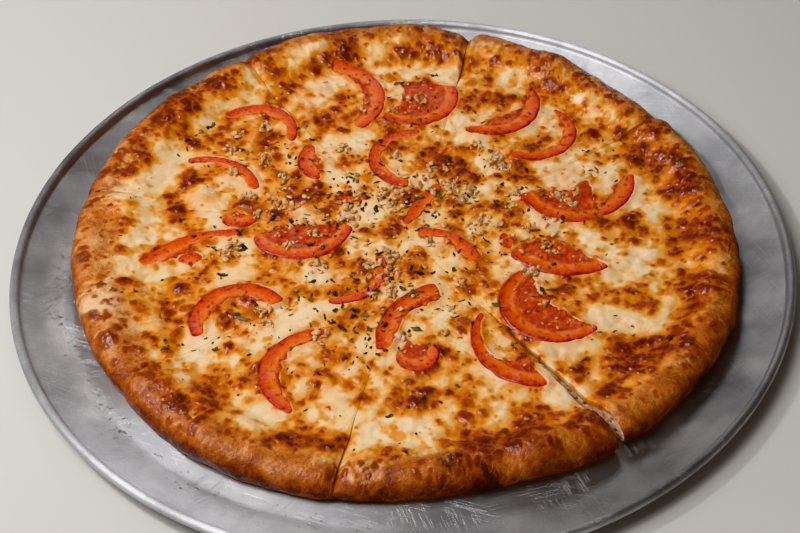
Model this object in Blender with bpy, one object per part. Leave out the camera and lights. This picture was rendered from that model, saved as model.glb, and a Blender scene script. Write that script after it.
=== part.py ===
"""Pizza with a raised rim, cut into eight slices, on the round aluminium pan that it was baked on.

Each slice is a wedge of dough under a layer of melted cheese, and both run through to the cuts.
Pieces of tomato slice lie on the cheese. The origin is the middle of the pan's underside, +Z is up
and -Y is the front. Sizes are in millimetres and angles in degrees until a mesh is made.
"""

import math
from collections import namedtuple

import bmesh
import bpy
import numpy as np

METRES = 0.001
GAP = 0.3  # between two pieces that touch

# Pan: one sheet with a flat floor, a shallow sloping rim and a rolled bead at its edge.
PAN_RADIUS = 203.2
PAN_HEIGHT = 12.0
PAN_SHEET = 1.2
PAN_STEPS = 64
FLOOR_RADIUS = 177.0
BEAD_RADIUS = 2.4
RIM_SLOPE = 0.32

# Pizza: the four straight cuts cross here, away from the pan's middle.
CROSSING = (6.3, 8.2)
FIELD_HEIGHT = 6.8  # top of the dough under the cheese
RIM_WIDTH = 28.0
RIM_CREST = 7.0  # from the outline in to the rim's highest line
RIM_DROP = 0.16  # how much lower the rim is at a cut
CORNER_PINCH = 2.0
CORNER_LENGTH = 5.0
CHEESE_THICKNESS = 2.8
CHEESE_EDGE_THICKNESS = 1.0
CHEESE_EDGE = 11.0  # from the outline in to where the cheese stops
CHEESE_WAVE = 2.2
SLICE_STEPS = 12

# Each slice runs anticlockwise from its first cut to its last. radii are from the crossing to the
# outline at the first cut, halfway and at the last cut; opening is how far the first cut gapes.
Slice = namedtuple("Slice", "name first last radii height opening")
SLICES = (
    Slice("back_right", 33.0, 77.5, (168.5, 173.5, 183.0), 17.0, 0.0),
    Slice("back", 77.5, 121.5, (181.5, 187.0, 185.0), 17.5, 0.0),
    Slice("back_left", 121.5, 166.0, (185.0, 184.0, 182.0), 17.5, 0.0),
    Slice("left", 166.0, 214.5, (182.0, 178.0, 176.5), 17.0, 0.0),
    Slice("front_left", 214.5, 256.0, (176.5, 178.0, 174.5), 17.5, 0.0),
    Slice("front", 256.0, 302.8, (174.0, 168.5, 171.5), 16.5, 0.0),
    Slice("front_right", 302.8, 345.0, (169.5, 170.5, 171.5), 16.0, 5.0),
    Slice("right", 345.0, 393.0, (171.5, 168.5, 172.0), 16.5, 0.0),
)

# Where the dough or the cheese has blown up into a dome: x, y, radius and height.
DOMES = (
    (-145.0, 34.0, 22.0, 3.6),
    (-108.0, 50.0, 11.0, 2.6),
    (-152.0, -36.0, 20.0, 2.0),
    (-124.0, -92.0, 18.0, 2.0),
    (-96.0, 150.0, 20.0, 2.0),
    (92.0, 150.0, 18.0, 2.5),
    (150.0, -40.0, 20.0, 1.5),
    (62.0, -138.0, 18.0, 1.5),
)

# Tomato: pieces of slice. skin is three points on the arc of skin, anticlockwise. widths are measured
# from the skin at five even steps along it, towards a focus that lies beyond the arc's centre.
Tomato = namedtuple("Tomato", "name skin beyond widths")
TOMATOES = (
    Tomato("tomato_01", ((-21, 100), (-6.5, 130.5), (-36, 161.5)), 0, (8, 10, 11.5, 10.5, 7)),
    Tomato("tomato_02", ((-8, 109.5), (12, 102.1), (34.3, 136)), 25, (5, 21, 35, 37, 14)),
    Tomato("tomato_03", ((37.5, 96.5), (66.5, 94), (79.5, 130.5)), 0, (4, 13, 15, 10, 5)),
    Tomato("tomato_04", ((61, 73), (92.5, 75), (90, 113)), 0, (5, 6, 7.5, 6, 3)),
    Tomato("tomato_05", ((13, 98), (-16.5, 75), (5, 49)), 0, (5, 7, 8, 8, 7)),
    Tomato("tomato_06", ((21, 52), (9, 38.5), (1, 20)), 0, (4, 7, 8, 7, 5)),
    Tomato("tomato_07", ((-58.5, 91), (-64.5, 119), (-98.5, 115.5)), 0, (5, 6, 8.5, 7.5, 5)),
    Tomato("tomato_08", ((-49, 88.5), (-55.8, 74), (-45, 57.5)), 10, (4, 8, 11, 9, 4)),
    Tomato("tomato_09", ((-76, 52), (-87.5, 73.5), (-117, 78)), 0, (5, 6.5, 5.5, 4.5, 3)),
    Tomato("tomato_10", ((-95.5, 27), (-86, 20.5), (-76.5, 25.5)), 20, (6, 11, 12, 8, 4)),
    Tomato("tomato_11", ((-84.5, 19), (-116.7, 13.5), (-137.5, -5)), 0, (5, 6, 9, 12, 3)),
    Tomato("tomato_12", ((-78.5, 11), (-53, -5.3), (-25.5, 18)), 30, (5, 22, 28, 21, 5)),
    Tomato("tomato_13", ((-60.2, -35.2), (-92, -24), (-105.2, -59.7)), 0, (8, 11, 11, 10, 7)),
    Tomato("tomato_14", ((-38, -56.5), (-70.5, -78), (-55.7, -112.5)), 0, (6, 9, 9.5, 9.5, 5)),
    Tomato("tomato_15", ((17, -26), (-11, -50), (-13.5, -73)), 0, (11, 12, 11, 10, 7)),
    Tomato("tomato_16", ((-38.5, -38.3), (-13.2, -30), (-10, -3)), 0, (4, 6, 7, 6, 4)),
    Tomato("tomato_17", ((56, -6), (82, -23.5), (106.5, -18.5)), 30, (8, 23, 27, 18, 3)),
    Tomato("tomato_18", ((62.3, -17.5), (56, -62), (96, -63.5)), 25, (5, 21, 29, 20, 5)),
    Tomato("tomato_19", ((38.7, -48), (34.2, -76), (68.5, -99.8)), 0, (3.5, 5, 8, 16, 6)),
    Tomato("tomato_20", ((65, 40), (78, 21.5), (103, 18.5)), 25, (4, 17, 25, 32, 27)),
    Tomato("tomato_21", ((106.5, 20.5), (121, 31), (127.5, 54)), 0, (6, 9, 10, 9, 4)),
    Tomato("tomato_22", ((42, -9), (28, 10), (9.5, 16.5)), 0, (10, 9, 5.5, 5, 9)),
    Tomato("tomato_23", ((-16.5, 41), (-25, 46), (-35, 41.5)), 5, (2.5, 4.5, 5, 4.5, 2.5)),
    Tomato("tomato_24", ((-4.5, -78.5), (3, -86.5), (16, -72)), 20, (5, 15, 19, 13, 4)),
    Tomato("tomato_25", ((54, 10.5), (51.8, 2), (56, -3)), 5, (3, 6, 7, 6, 3)),
    Tomato("tomato_26", ((-103.5, -1.5), (-110, 2.5), (-117, -3)), 4, (4, 10, 11, 8, 4)),
)
TOMATO_STEPS = 8
TOMATO_SKIN_HEIGHT = 4.0
TOMATO_FLESH_HEIGHT = 2.6

ALUMINIUM = ((0.55, 0.55, 0.57), 0.35, 1.0)
BAKED_DOUGH = ((0.50, 0.20, 0.05), 0.45, 0.0)
MELTED_CHEESE = ((0.80, 0.58, 0.28), 0.35, 0.0)
TOMATO_RED = ((0.60, 0.10, 0.03), 0.25, 0.0)


def material(name, finish):
    """A Principled material of one colour, roughness and metallic value."""
    colour, roughness, metallic = finish
    made = bpy.data.materials.new(name)
    made.use_nodes = True
    shader = made.node_tree.nodes["Principled BSDF"]
    shader.inputs["Base Color"].default_value = (*colour, 1.0)
    shader.inputs["Roughness"].default_value = roughness
    shader.inputs["Metallic"].default_value = metallic
    return made


def add_piece(name, mesh, finish):
    """Makes a named object of a closed bmesh, shaded smooth with its sharp corners kept."""
    bmesh.ops.remove_doubles(mesh, verts=mesh.verts, dist=1e-6)
    bmesh.ops.recalc_face_normals(mesh, faces=mesh.faces)
    data = bpy.data.meshes.new(name)
    mesh.to_mesh(data)
    mesh.free()
    data.shade_smooth()
    data.set_sharp_from_angle(angle=math.radians(50))
    data.materials.append(material(name, finish))
    piece = bpy.data.objects.new(name, data)
    bpy.context.collection.objects.link(piece)
    return piece


def smooth_step(low, high, value):
    """0 below low, 1 above high, and an even S between them."""
    share = np.clip((value - low) / (high - low), 0.0, 1.0)
    return share * share * (3.0 - 2.0 * share)


# ---- pan -----------------------------------------------------------------------------------------


def pan_top(distance):
    """Height of the pan's upper face at a distance from its middle."""
    return PAN_SHEET + RIM_SLOPE * np.maximum(0.0, distance - FLOOR_RADIUS)


def pan_profile():
    """(radius, height) down the section: out along the underside, round the bead, back along the top."""
    bead_radius = PAN_RADIUS - BEAD_RADIUS
    bead_height = PAN_HEIGHT - BEAD_RADIUS
    under = FLOOR_RADIUS + 0.4 * PAN_SHEET
    slope_end = bead_radius - 0.5 * BEAD_RADIUS
    profile = [(0.0, 0.0), (under, 0.0), (slope_end, RIM_SLOPE * (slope_end - under))]
    for angle in (-80, -45, 0, 40, 80, 125, 170):
        turn = math.radians(angle)
        profile.append(
            (bead_radius + BEAD_RADIUS * math.cos(turn), bead_height + BEAD_RADIUS * math.sin(turn))
        )
    inner = bead_radius - 1.05 * BEAD_RADIUS
    profile += [(inner, pan_top(inner)), (FLOOR_RADIUS, PAN_SHEET), (0.0, PAN_SHEET)]
    return profile


def make_pan():
    mesh = bmesh.new()
    corners = [mesh.verts.new((r * METRES, 0.0, z * METRES)) for r, z in pan_profile()]
    edges = [mesh.edges.new(pair) for pair in zip(corners, corners[1:])]
    bmesh.ops.spin(
        mesh,
        geom=corners + edges,
        cent=(0.0, 0.0, 0.0),
        axis=(0.0, 0.0, 1.0),
        angle=math.tau,
        steps=PAN_STEPS,
        use_merge=True,
    )
    add_piece("pan", mesh, ALUMINIUM)


# ---- shape of the pizza ----------------------------------------------------------------------------


def outline(piece, share):
    """Radius of the outline at a share of the way from the first cut to the last.

    A parabola runs through the three stated radii, and both corners are pinched in a little.
    """
    first, middle, last = piece.radii
    radius = (
        first * 2.0 * (share - 0.5) * (share - 1.0)
        - middle * 4.0 * share * (share - 1.0)
        + last * 2.0 * share * (share - 0.5)
    )
    arc = math.radians(piece.last - piece.first) * radius
    corner = np.minimum(share, 1.0 - share) * arc
    return radius - CORNER_PINCH * np.exp(-((corner / CORNER_LENGTH) ** 2))


def rim_height(piece, share):
    """Height of the rim's crest, lower at the cuts and slightly wavy between them."""
    wave = 0.03 * np.sin(math.tau * (1.7 * share + piece.first / 90.0))
    return piece.height * (1.0 - RIM_DROP * (2.0 * share - 1.0) ** 4 + wave)


def domes(x, y):
    """Height that the blown-up domes add: each is a smooth bump of its own radius."""
    total = np.zeros_like(x)
    for centre_x, centre_y, radius, height in DOMES:
        reach = np.hypot(x - centre_x, y - centre_y) / radius
        total += height * (1.0 - smooth_step(0.0, 1.0, reach))
    return total


def dough_top(inset, crest, x, y):
    """Height of the dough inside its crest, inset being the distance in from the outline."""
    fall = smooth_step(RIM_CREST, RIM_WIDTH, inset)
    return crest + (FIELD_HEIGHT - crest) * fall + domes(x, y)


def cheese_thickness(inset):
    """Cheese is thickest on the field and thins out as it climbs the rim."""
    spare = CHEESE_THICKNESS - CHEESE_EDGE_THICKNESS
    return CHEESE_EDGE_THICKNESS + spare * smooth_step(CHEESE_EDGE, RIM_WIDTH + 4.0, inset)


def cheese_edge(piece, share):
    """Distance in from the outline to the cheese's wavy edge."""
    return CHEESE_EDGE + CHEESE_WAVE * np.sin(math.tau * (2.3 * share + piece.first / 70.0))


def slice_point(piece, share, radius):
    """Plan position of a point of a slice, drawn back from both cuts by half a gap."""
    angle = math.radians(piece.first + (piece.last - piece.first) * share)
    half = math.radians(piece.last - piece.first) / 2
    middle = math.radians(piece.first + piece.last) / 2
    tip = GAP / 2 / math.sin(half)
    gape = piece.opening * smooth_step(40.0, piece.radii[0], radius) * (1.0 - share)
    side = math.radians(piece.first + 90.0)
    x = CROSSING[0] + tip * math.cos(middle) + radius * np.cos(angle) + gape * math.cos(side)
    y = CROSSING[1] + tip * math.sin(middle) + radius * np.sin(angle) + gape * math.sin(side)
    return x, y


def cheese_height(x, y):
    """Height of the cheese's top at a plan position, for what lies on it."""
    across, along = x - CROSSING[0], y - CROSSING[1]
    angle = (math.degrees(math.atan2(along, across)) - SLICES[0].first) % 360.0 + SLICES[0].first
    piece = next(piece for piece in SLICES if angle <= piece.last)
    share = (angle - piece.first) / (piece.last - piece.first)
    inset = outline(piece, share) - math.hypot(across, along)
    crest = rim_height(piece, share)
    dough = dough_top(inset, crest, np.array(x), np.array(y))
    return float(dough) + GAP + float(cheese_thickness(inset))


# ---- dough and cheese ------------------------------------------------------------------------------


def cheese_rows(piece, share):
    """Radii of the section points that the dough's top and the cheese share, from the tip outwards."""
    edge = outline(piece, share)
    field = (edge - RIM_WIDTH) * np.array([0.0, 0.3, 0.6, 0.85, 1.0])
    return np.append(field, edge - np.array([22.0, 17.0, cheese_edge(piece, share)]))


def dough_section(piece, share):
    """(x, y, z) round one section: from the tip out along the top, down the wall, back underneath."""
    edge = outline(piece, share)
    crest = rim_height(piece, share)
    top = np.append(cheese_rows(piece, share), edge - RIM_CREST)
    # Wall and underside: distance in from the outline, and share of the way up to the crest.
    wall = np.array(
        [(3.0, 0.84), (0.7, 0.60), (0.0, 0.34), (0.8, 0.08), (3.5, 0.0), (10.0, 0.0), (RIM_WIDTH, 0.0)]
    )
    radius = np.concatenate([top, edge - wall[:, 0], [0.0]])
    x, y = slice_point(piece, share, radius)
    floor = np.maximum(PAN_SHEET, pan_top(np.hypot(x, y))) + GAP
    height = np.empty_like(radius)
    height[: len(top)] = dough_top(edge - top, crest, x[: len(top)], y[: len(top)])
    up = np.append(wall[:, 1], 0.0)
    swell = domes(x, y)[len(top) :] * up
    height[len(top) :] = floor[len(top) :] + (crest - floor[len(top) :]) * up + swell
    return np.column_stack([x, y, height])


def cheese_section(piece, share):
    """(x, y, z) round one section: out along the top to the edge, and back along the underside."""
    edge = outline(piece, share)
    crest = rim_height(piece, share)
    rows = cheese_rows(piece, share)
    x, y = slice_point(piece, share, rows)
    under = dough_top(edge - rows, crest, x, y) + GAP
    over = under + cheese_thickness(edge - rows)
    return np.vstack(
        [np.column_stack([x, y, over]), np.column_stack([x, y, under])[::-1]]
    )


def make_wedge(name, piece, section, finish):
    """Joins a slice's sections, whose first and last points all meet at the slice's tip."""
    mesh = bmesh.new()
    rings = []
    for step in range(SLICE_STEPS + 1):
        points = section(piece, step / SLICE_STEPS) * METRES
        rings.append([mesh.verts.new(point) for point in points])
    for near, far in zip(rings, rings[1:]):
        for a, b, c, d in zip(near, near[1:], far[1:], far):
            # The same diagonal on dough and cheese keeps the gap between them even.
            outwards = (b.co - a.co).dot(a.co + b.co) > 0
            halves = ((a, b, c), (a, c, d)) if outwards else ((a, b, d), (b, c, d))
            for corners in halves:
                mesh.faces.new(corners)
    mesh.faces.new(rings[0])
    mesh.faces.new(rings[-1][::-1])
    add_piece(name, mesh, finish)


# ---- tomato ----------------------------------------------------------------------------------------


def circle_through(skin):
    """Centre and radius of the circle through three points."""
    (ax, ay), (bx, by), (cx, cy) = skin
    twice_area = 2.0 * (ax * (by - cy) + bx * (cy - ay) + cx * (ay - by))
    a2, b2, c2 = ax * ax + ay * ay, bx * bx + by * by, cx * cx + cy * cy
    x = (a2 * (by - cy) + b2 * (cy - ay) + c2 * (ay - by)) / twice_area
    y = (a2 * (cx - bx) + b2 * (ax - cx) + c2 * (bx - ax)) / twice_area
    return x, y, math.hypot(ax - x, ay - y)


def tomato_edges(tomato, share):
    """The skin point and the inner point at a share of the way along the arc of skin."""
    x, y, radius = circle_through(tomato.skin)
    start = math.atan2(tomato.skin[0][1] - y, tomato.skin[0][0] - x)
    end = math.atan2(tomato.skin[2][1] - y, tomato.skin[2][0] - x)
    sweep = (end - start) % math.tau
    middle = start + sweep / 2
    focus = (x - tomato.beyond * math.cos(middle), y - tomato.beyond * math.sin(middle))
    angle = start + sweep * share
    outer = (x + radius * math.cos(angle), y + radius * math.sin(angle))
    across, along = focus[0] - outer[0], focus[1] - outer[1]
    width = np.interp(share, (0.0, 0.25, 0.5, 0.75, 1.0), tomato.widths) / math.hypot(across, along)
    return outer, (outer[0] + across * width, outer[1] + along * width)


def make_tomato(tomato):
    """A slab between the skin and the flesh's inner edge, its top falling away from the skin."""
    mesh = bmesh.new()
    rings = []
    for step in range(TOMATO_STEPS + 1):
        outer, inner = tomato_edges(tomato, step / TOMATO_STEPS)
        taper = 1.0 if 0 < step < TOMATO_STEPS else 0.6
        ring = []
        for (x, y), height in (
            (inner, 0.0),
            (outer, 0.0),
            (outer, TOMATO_SKIN_HEIGHT * taper),
            (inner, TOMATO_FLESH_HEIGHT * taper),
        ):
            z = cheese_height(x, y) + GAP + height
            ring.append(mesh.verts.new((x * METRES, y * METRES, z * METRES)))
        rings.append(ring)
    for near, far in zip(rings, rings[1:]):
        for i in range(4):
            j = (i + 1) % 4
            mesh.faces.new((near[i], near[j], far[j], far[i]))
    mesh.faces.new(rings[0])
    mesh.faces.new(rings[-1][::-1])
    add_piece(tomato.name, mesh, TOMATO_RED)


def clear_scene():
    for old in list(bpy.data.objects):
        bpy.data.objects.remove(old, do_unlink=True)


clear_scene()
make_pan()
for piece in SLICES:
    make_wedge("dough_" + piece.name, piece, dough_section, BAKED_DOUGH)
    make_wedge("cheese_" + piece.name, piece, cheese_section, MELTED_CHEESE)
for tomato in TOMATOES:
    make_tomato(tomato)
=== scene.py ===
"""Pizza on its pan: the fine surfaces, colours and small toppings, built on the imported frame.

Shapes are worked out in millimetres, with the origin in the middle of the pan's underside, +Z up and
-Y to the front, and go into their meshes in metres. Colours are red, green and blue from 0 to 255, as
they look on a screen.
"""

import math
from collections import namedtuple

import bpy
import numpy as np
from mathutils import Matrix


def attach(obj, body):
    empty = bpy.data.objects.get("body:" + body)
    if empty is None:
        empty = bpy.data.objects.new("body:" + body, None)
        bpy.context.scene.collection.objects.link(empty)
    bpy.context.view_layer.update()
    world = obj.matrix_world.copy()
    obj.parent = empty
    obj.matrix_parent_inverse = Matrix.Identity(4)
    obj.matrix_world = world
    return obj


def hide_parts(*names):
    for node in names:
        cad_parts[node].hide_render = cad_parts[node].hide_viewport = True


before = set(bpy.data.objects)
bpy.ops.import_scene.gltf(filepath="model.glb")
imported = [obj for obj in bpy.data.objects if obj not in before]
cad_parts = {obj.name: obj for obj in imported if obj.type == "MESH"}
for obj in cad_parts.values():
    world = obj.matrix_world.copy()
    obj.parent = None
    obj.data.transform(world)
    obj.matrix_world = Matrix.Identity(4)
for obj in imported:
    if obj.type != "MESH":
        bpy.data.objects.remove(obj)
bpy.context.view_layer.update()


# ---- Pan -------------------------------------------------------------------------------------------
# The pan is one sheet of bare aluminium with a flat floor and a shallow sloping rim, its edge rolled
# into a bead. It is worn: cloudy, scratched and a little dented, and wet with oil beside the crust.

METRES = 0.001
PAN_RADIUS = 203.2
PAN_HEIGHT = 12.0
PAN_SHEET = 1.2
FLOOR_RADIUS = 177.0
RIM_SLOPE = 0.32
FOLD_SOFTNESS = 1.2
BEAD_RADIUS = 2.4
PAN_TURNS = 480
DENTS = 70
OIL_MIDDLE = (-6.0, -4.0)
OIL_REACH = (177.0, 184.0)
OIL_SIDE = 205.0
SCRATCH_TURNS = (0.35, 1.25, 2.3, 2.9)


def smooth_step(low, high, value):
    """0 below low, 1 above high, and an even S between them."""
    share = np.clip((value - low) / (high - low), 0.0, 1.0)
    return share * share * (3.0 - 2.0 * share)


def cut_cells(corners):
    """Two triangles for each cell of a grid of corner numbers, without those that have no area."""
    a, b = corners[:-1, :-1], corners[1:, :-1]
    d, c = corners[:-1, 1:], corners[1:, 1:]
    halves = np.concatenate([np.stack([a, b, c], -1), np.stack([a, c, d], -1)])
    p, q, r = halves.reshape(-1, 3).T
    whole = (p != q) & (q != r) & (r != p)
    return np.column_stack([p, q, r])[whole]


def add_piece(name, points, triangles, material, slot, nodes=(), **values):
    """Makes a piece of points and index triples, with one named number for each point in values."""
    data = bpy.data.meshes.new(name)
    data.vertices.add(len(points))
    data.loops.add(triangles.size)
    data.polygons.add(len(triangles))
    data.vertices.foreach_set("co", (points * METRES).astype(np.float32).ravel())
    data.loops.foreach_set("vertex_index", triangles.astype(np.int32).ravel())
    data.polygons.foreach_set("loop_start", np.arange(0, triangles.size, 3, dtype=np.int32))
    data.update(calc_edges=True)
    data.shade_smooth()
    for key, value in values.items():
        attribute = data.attributes.new(key, "FLOAT", "POINT")
        attribute.data.foreach_set("value", np.asarray(value, np.float32))
    data.materials.append(material)
    piece = bpy.data.objects.new(name, data)
    bpy.context.scene.collection.objects.link(piece)
    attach(piece, "root")
    if nodes:
        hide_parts(*nodes)
    return piece


def colour(red, green, blue):
    """A colour as the eye sees it on a screen, turned into the linear one that a shader takes."""
    share = np.array([red, green, blue]) / 255.0
    linear = np.where(share <= 0.04045, share / 12.92, ((share + 0.055) / 1.055) ** 2.4)
    return (*linear.tolist(), 1.0)


def add_node(tree, kind, inputs, **settings):
    """Adds a node, and gives each of its inputs a value or another node's output."""
    made = tree.nodes.new(kind)
    for key, value in settings.items():
        setattr(made, key, value)
    for key, value in inputs.items():
        if isinstance(value, bpy.types.NodeSocket):
            tree.links.new(value, made.inputs[key])
        else:
            made.inputs[key].default_value = value
    return made


def calculate(tree, operation, *values, clamp=False):
    """The output of a Math node."""
    inputs = dict(enumerate(values))
    return add_node(tree, "ShaderNodeMath", inputs, operation=operation, use_clamp=clamp).outputs[0]


def weigh(tree, *parts, start=0.0, clamp=False):
    """The sum of (value, weight) pairs, added to a start by one Multiply Add node for each."""
    for value, weight in parts:
        start = calculate(tree, "MULTIPLY_ADD", value, weight, start)
    return calculate(tree, "ADD", start, 0.0, clamp=True) if clamp else start


def spread(tree, value, low, high, to_low=0.0, to_high=1.0):
    """A value from low to high, smoothly mapped to run from to_low to to_high."""
    inputs = {"Value": value, "From Min": low, "From Max": high, "To Min": to_low, "To Max": to_high}
    made = add_node(tree, "ShaderNodeMapRange", inputs, interpolation_type="SMOOTHSTEP")
    return made.outputs["Result"]


def noise(tree, vector, scale, **settings):
    """The grey output of a Noise texture, with its detail, roughness and distortion as given."""
    inputs = {"Vector": vector, "Scale": scale, "Detail": 3.0, "Roughness": 0.55}
    inputs.update((key.title(), value) for key, value in settings.items())
    return add_node(tree, "ShaderNodeTexNoise", inputs).outputs["Fac"]


def attribute(tree, name):
    """The number that a piece has in an attribute at each point."""
    return add_node(tree, "ShaderNodeAttribute", {}, attribute_name=name).outputs["Fac"]


def object_place(tree):
    """Object coordinates, which are places on the part in metres."""
    return add_node(tree, "ShaderNodeTexCoord", {}).outputs["Object"]


def combine(tree, x, y):
    """A vector of two numbers."""
    return add_node(tree, "ShaderNodeCombineXYZ", {"X": x, "Y": y}).outputs[0]


def vector_math(tree, operation, *values):
    """The node that does a sum with vectors."""
    return add_node(tree, "ShaderNodeVectorMath", dict(enumerate(values)), operation=operation)


def ramp(tree, value, stops):
    """A Color Ramp over (place, colour) stops."""
    made = add_node(tree, "ShaderNodeValToRGB", {"Fac": value})
    elements = made.color_ramp.elements
    elements[0].position, elements[0].color = stops[0][0], colour(*stops[0][1])
    elements[1].position, elements[1].color = stops[-1][0], colour(*stops[-1][1])
    for place, tint in stops[1:-1]:
        elements.new(place).color = colour(*tint)
    return made.outputs["Color"]


def blend(tree, share, first, second, blend_type="MIX"):
    """Two colours mixed by a share."""
    made = add_node(tree, "ShaderNodeMix", {"Factor": share}, data_type="RGBA", blend_type=blend_type)
    for socket, value in ((made.inputs[6], first), (made.inputs[7], second)):
        if isinstance(value, bpy.types.NodeSocket):
            tree.links.new(value, socket)
        else:
            socket.default_value = value
    return made.outputs[2]


def new_material(name, **sockets):
    """A material and its Principled shader, with the values that are the same all over set on it."""
    made = bpy.data.materials.new(name)
    made.use_nodes = True
    shader = made.node_tree.nodes["Principled BSDF"]
    for key, value in sockets.items():
        shader.inputs[key.replace("_", " ")].default_value = value
    return made, made.node_tree, shader


def finish_surface(tree, shader, tint, rough, height, strength, distance):
    """Feeds a shader its colour and roughness, and bumps of that height, strength and depth."""
    bump = add_node(tree, "ShaderNodeBump", {"Height": height, "Strength": strength, "Distance": distance})
    for key, output in (("Base Color", tint), ("Roughness", rough), ("Normal", bump.outputs[0])):
        tree.links.new(output, shader.inputs[key])


def new_group(name, inputs, outputs):
    """A node group with those (name, kind) sockets, its inputs' outputs and its end node."""
    group = bpy.data.node_groups.new(name, "ShaderNodeTree")
    for way, sockets in (("INPUT", inputs), ("OUTPUT", outputs)):
        for key, kind in sockets:
            group.interface.new_socket(key, in_out=way, socket_type="NodeSocket" + kind)
    start, end = group.nodes.new("NodeGroupInput"), group.nodes.new("NodeGroupOutput")
    return group, [start.outputs[key] for key, _ in inputs], end


def scratch_group():
    """A node group that draws fine straight scratches across a vector turned by an angle.

    Noise stretched a hundredfold along one way gives hairlines, and a second noise breaks them up.
    """
    sockets = (("Vector", "Vector"), ("Turn", "Float"))
    group, (vector, turn), end = new_group("Scratches", sockets, (("Mask", "Float"),))
    bent = add_node(group, "ShaderNodeTexNoise", {"Vector": vector, "Scale": 9.0, "Detail": 0.0})
    sway = vector_math(group, "SCALE", bent.outputs["Color"])
    sway.inputs["Scale"].default_value = 0.006
    swayed = vector_math(group, "ADD", vector, sway.outputs[0])
    inputs = {"Vector": swayed.outputs[0], "Angle": turn}
    turned = add_node(group, "ShaderNodeVectorRotate", inputs, rotation_type="Z_AXIS").outputs[0]
    stretched = vector_math(group, "MULTIPLY", turned, (26.0, 3400.0, 1.0))
    lines = spread(group, noise(group, stretched.outputs[0], 1.0, detail=1.0), 0.62, 0.68)
    breaks = spread(group, noise(group, turned, 60.0, detail=2.0), 0.47, 0.58)
    group.links.new(calculate(group, "MULTIPLY", lines, breaks), end.inputs["Mask"])
    return group


def aluminium():
    """Grey metal: cloudy in colour and gloss, turning marks round the middle, scratches and oil."""
    made, tree, shader = new_material(
        "Worn aluminium", Metallic=1.0, Anisotropic=0.75, Anisotropic_Rotation=0.25,
    )
    tangent = add_node(tree, "ShaderNodeTangent", {}, direction_type="RADIAL", axis="Z")
    tree.links.new(tangent.outputs["Tangent"], shader.inputs["Tangent"])
    place = object_place(tree)
    split = add_node(tree, "ShaderNodeSeparateXYZ", {0: place})
    flat = vector_math(tree, "MULTIPLY", place, (1.0, 1.0, 0.0))
    reach = vector_math(tree, "LENGTH", flat.outputs[0]).outputs["Value"]
    angle = calculate(tree, "ARCTAN2", split.outputs["Y"], split.outputs["X"])
    rings, round_them = calculate(tree, "MULTIPLY", reach, 1800.0), calculate(tree, "MULTIPLY", angle, 2.5)
    turning = noise(tree, combine(tree, rings, round_them), 1.0, detail=2.0)
    cloudy = noise(tree, place, 28.0, detail=5.0, roughness=0.6)
    grainy = noise(tree, place, 900.0, detail=2.0)
    group = scratch_group()
    scratched = 0.0
    for turn in SCRATCH_TURNS:
        lines = add_node(tree, "ShaderNodeGroup", {}, node_tree=group)
        tree.links.new(place, lines.inputs["Vector"])
        lines.inputs["Turn"].default_value = turn
        scratched = calculate(tree, "MAXIMUM", scratched, lines.outputs["Mask"])
    grey = ramp(tree, cloudy, ((0.3, (167, 167, 170)), (0.5, (190, 190, 193)), (0.7, (210, 210, 211))))
    grey = blend(tree, calculate(tree, "MULTIPLY", scratched, 0.4), grey, colour(232, 232, 232))
    dull = spread(tree, cloudy, 0.3, 0.7, 0.56, 0.46)
    rough = weigh(tree, (scratched, -0.08), (attribute(tree, "oil"), -0.07), start=dull, clamp=True)
    height = weigh(tree, (turning, 0.5), (grainy, 0.6), (scratched, -0.9))
    finish_surface(tree, shader, grey, rough, height, 0.35, 0.0002)
    return made


def pan_profile():
    """(radius, height) of the section: out along the underside, round the bead, back along the top.

    Both faces rise as slope times the soft positive part of (radius - fold), so the fold is rounded.
    """

    def rise(radius, fold):
        past = radius - fold
        return RIM_SLOPE * 0.5 * (past + np.sqrt(past * past + FOLD_SOFTNESS**2)) * (radius > 150.0)

    bead_radius, bead_height = PAN_RADIUS - BEAD_RADIUS, PAN_HEIGHT - BEAD_RADIUS
    under = np.concatenate([[0.0, 80.0, 150.0], np.linspace(168.0, bead_radius - 0.5 * BEAD_RADIUS, 26)])
    under_height = np.maximum(0.0, rise(under, FLOOR_RADIUS + 0.4 * PAN_SHEET) - 0.01)
    turn = np.radians(np.linspace(-80.0, 170.0, 22))
    bead = bead_radius + BEAD_RADIUS * np.cos(turn), bead_height + BEAD_RADIUS * np.sin(turn)
    top = np.concatenate([np.linspace(bead_radius - 1.05 * BEAD_RADIUS, 160.0, 52), [140.0, 80.0, 0.0]])
    radius = np.concatenate([under, bead[0], top])
    return radius, np.concatenate([under_height, bead[1], PAN_SHEET + rise(top, FLOOR_RADIUS)])


def pan_dents(angle, radius):
    """Height that dents and knocks add to the rim: each is a bell curve of its own width and depth."""
    random = np.random.default_rng(11)
    total = 0.10 * np.sin(3 * angle + 0.6) + 0.07 * np.sin(7 * angle) + 0.04 * np.sin(13 * angle + 2.0)
    for _ in range(DENTS):
        centre, out = random.uniform(-math.pi, math.pi), random.uniform(FLOOR_RADIUS, PAN_RADIUS)
        width, depth = random.uniform(2.5, 9.0), random.uniform(-0.16, 0.10)
        turned = (angle - centre + math.pi) % math.tau - math.pi
        total += depth * np.exp(-((turned * out) ** 2 + (radius - out) ** 2) / width**2)
    return total * smooth_step(FLOOR_RADIUS + 1.0, FLOOR_RADIUS + 8.0, radius)


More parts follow.
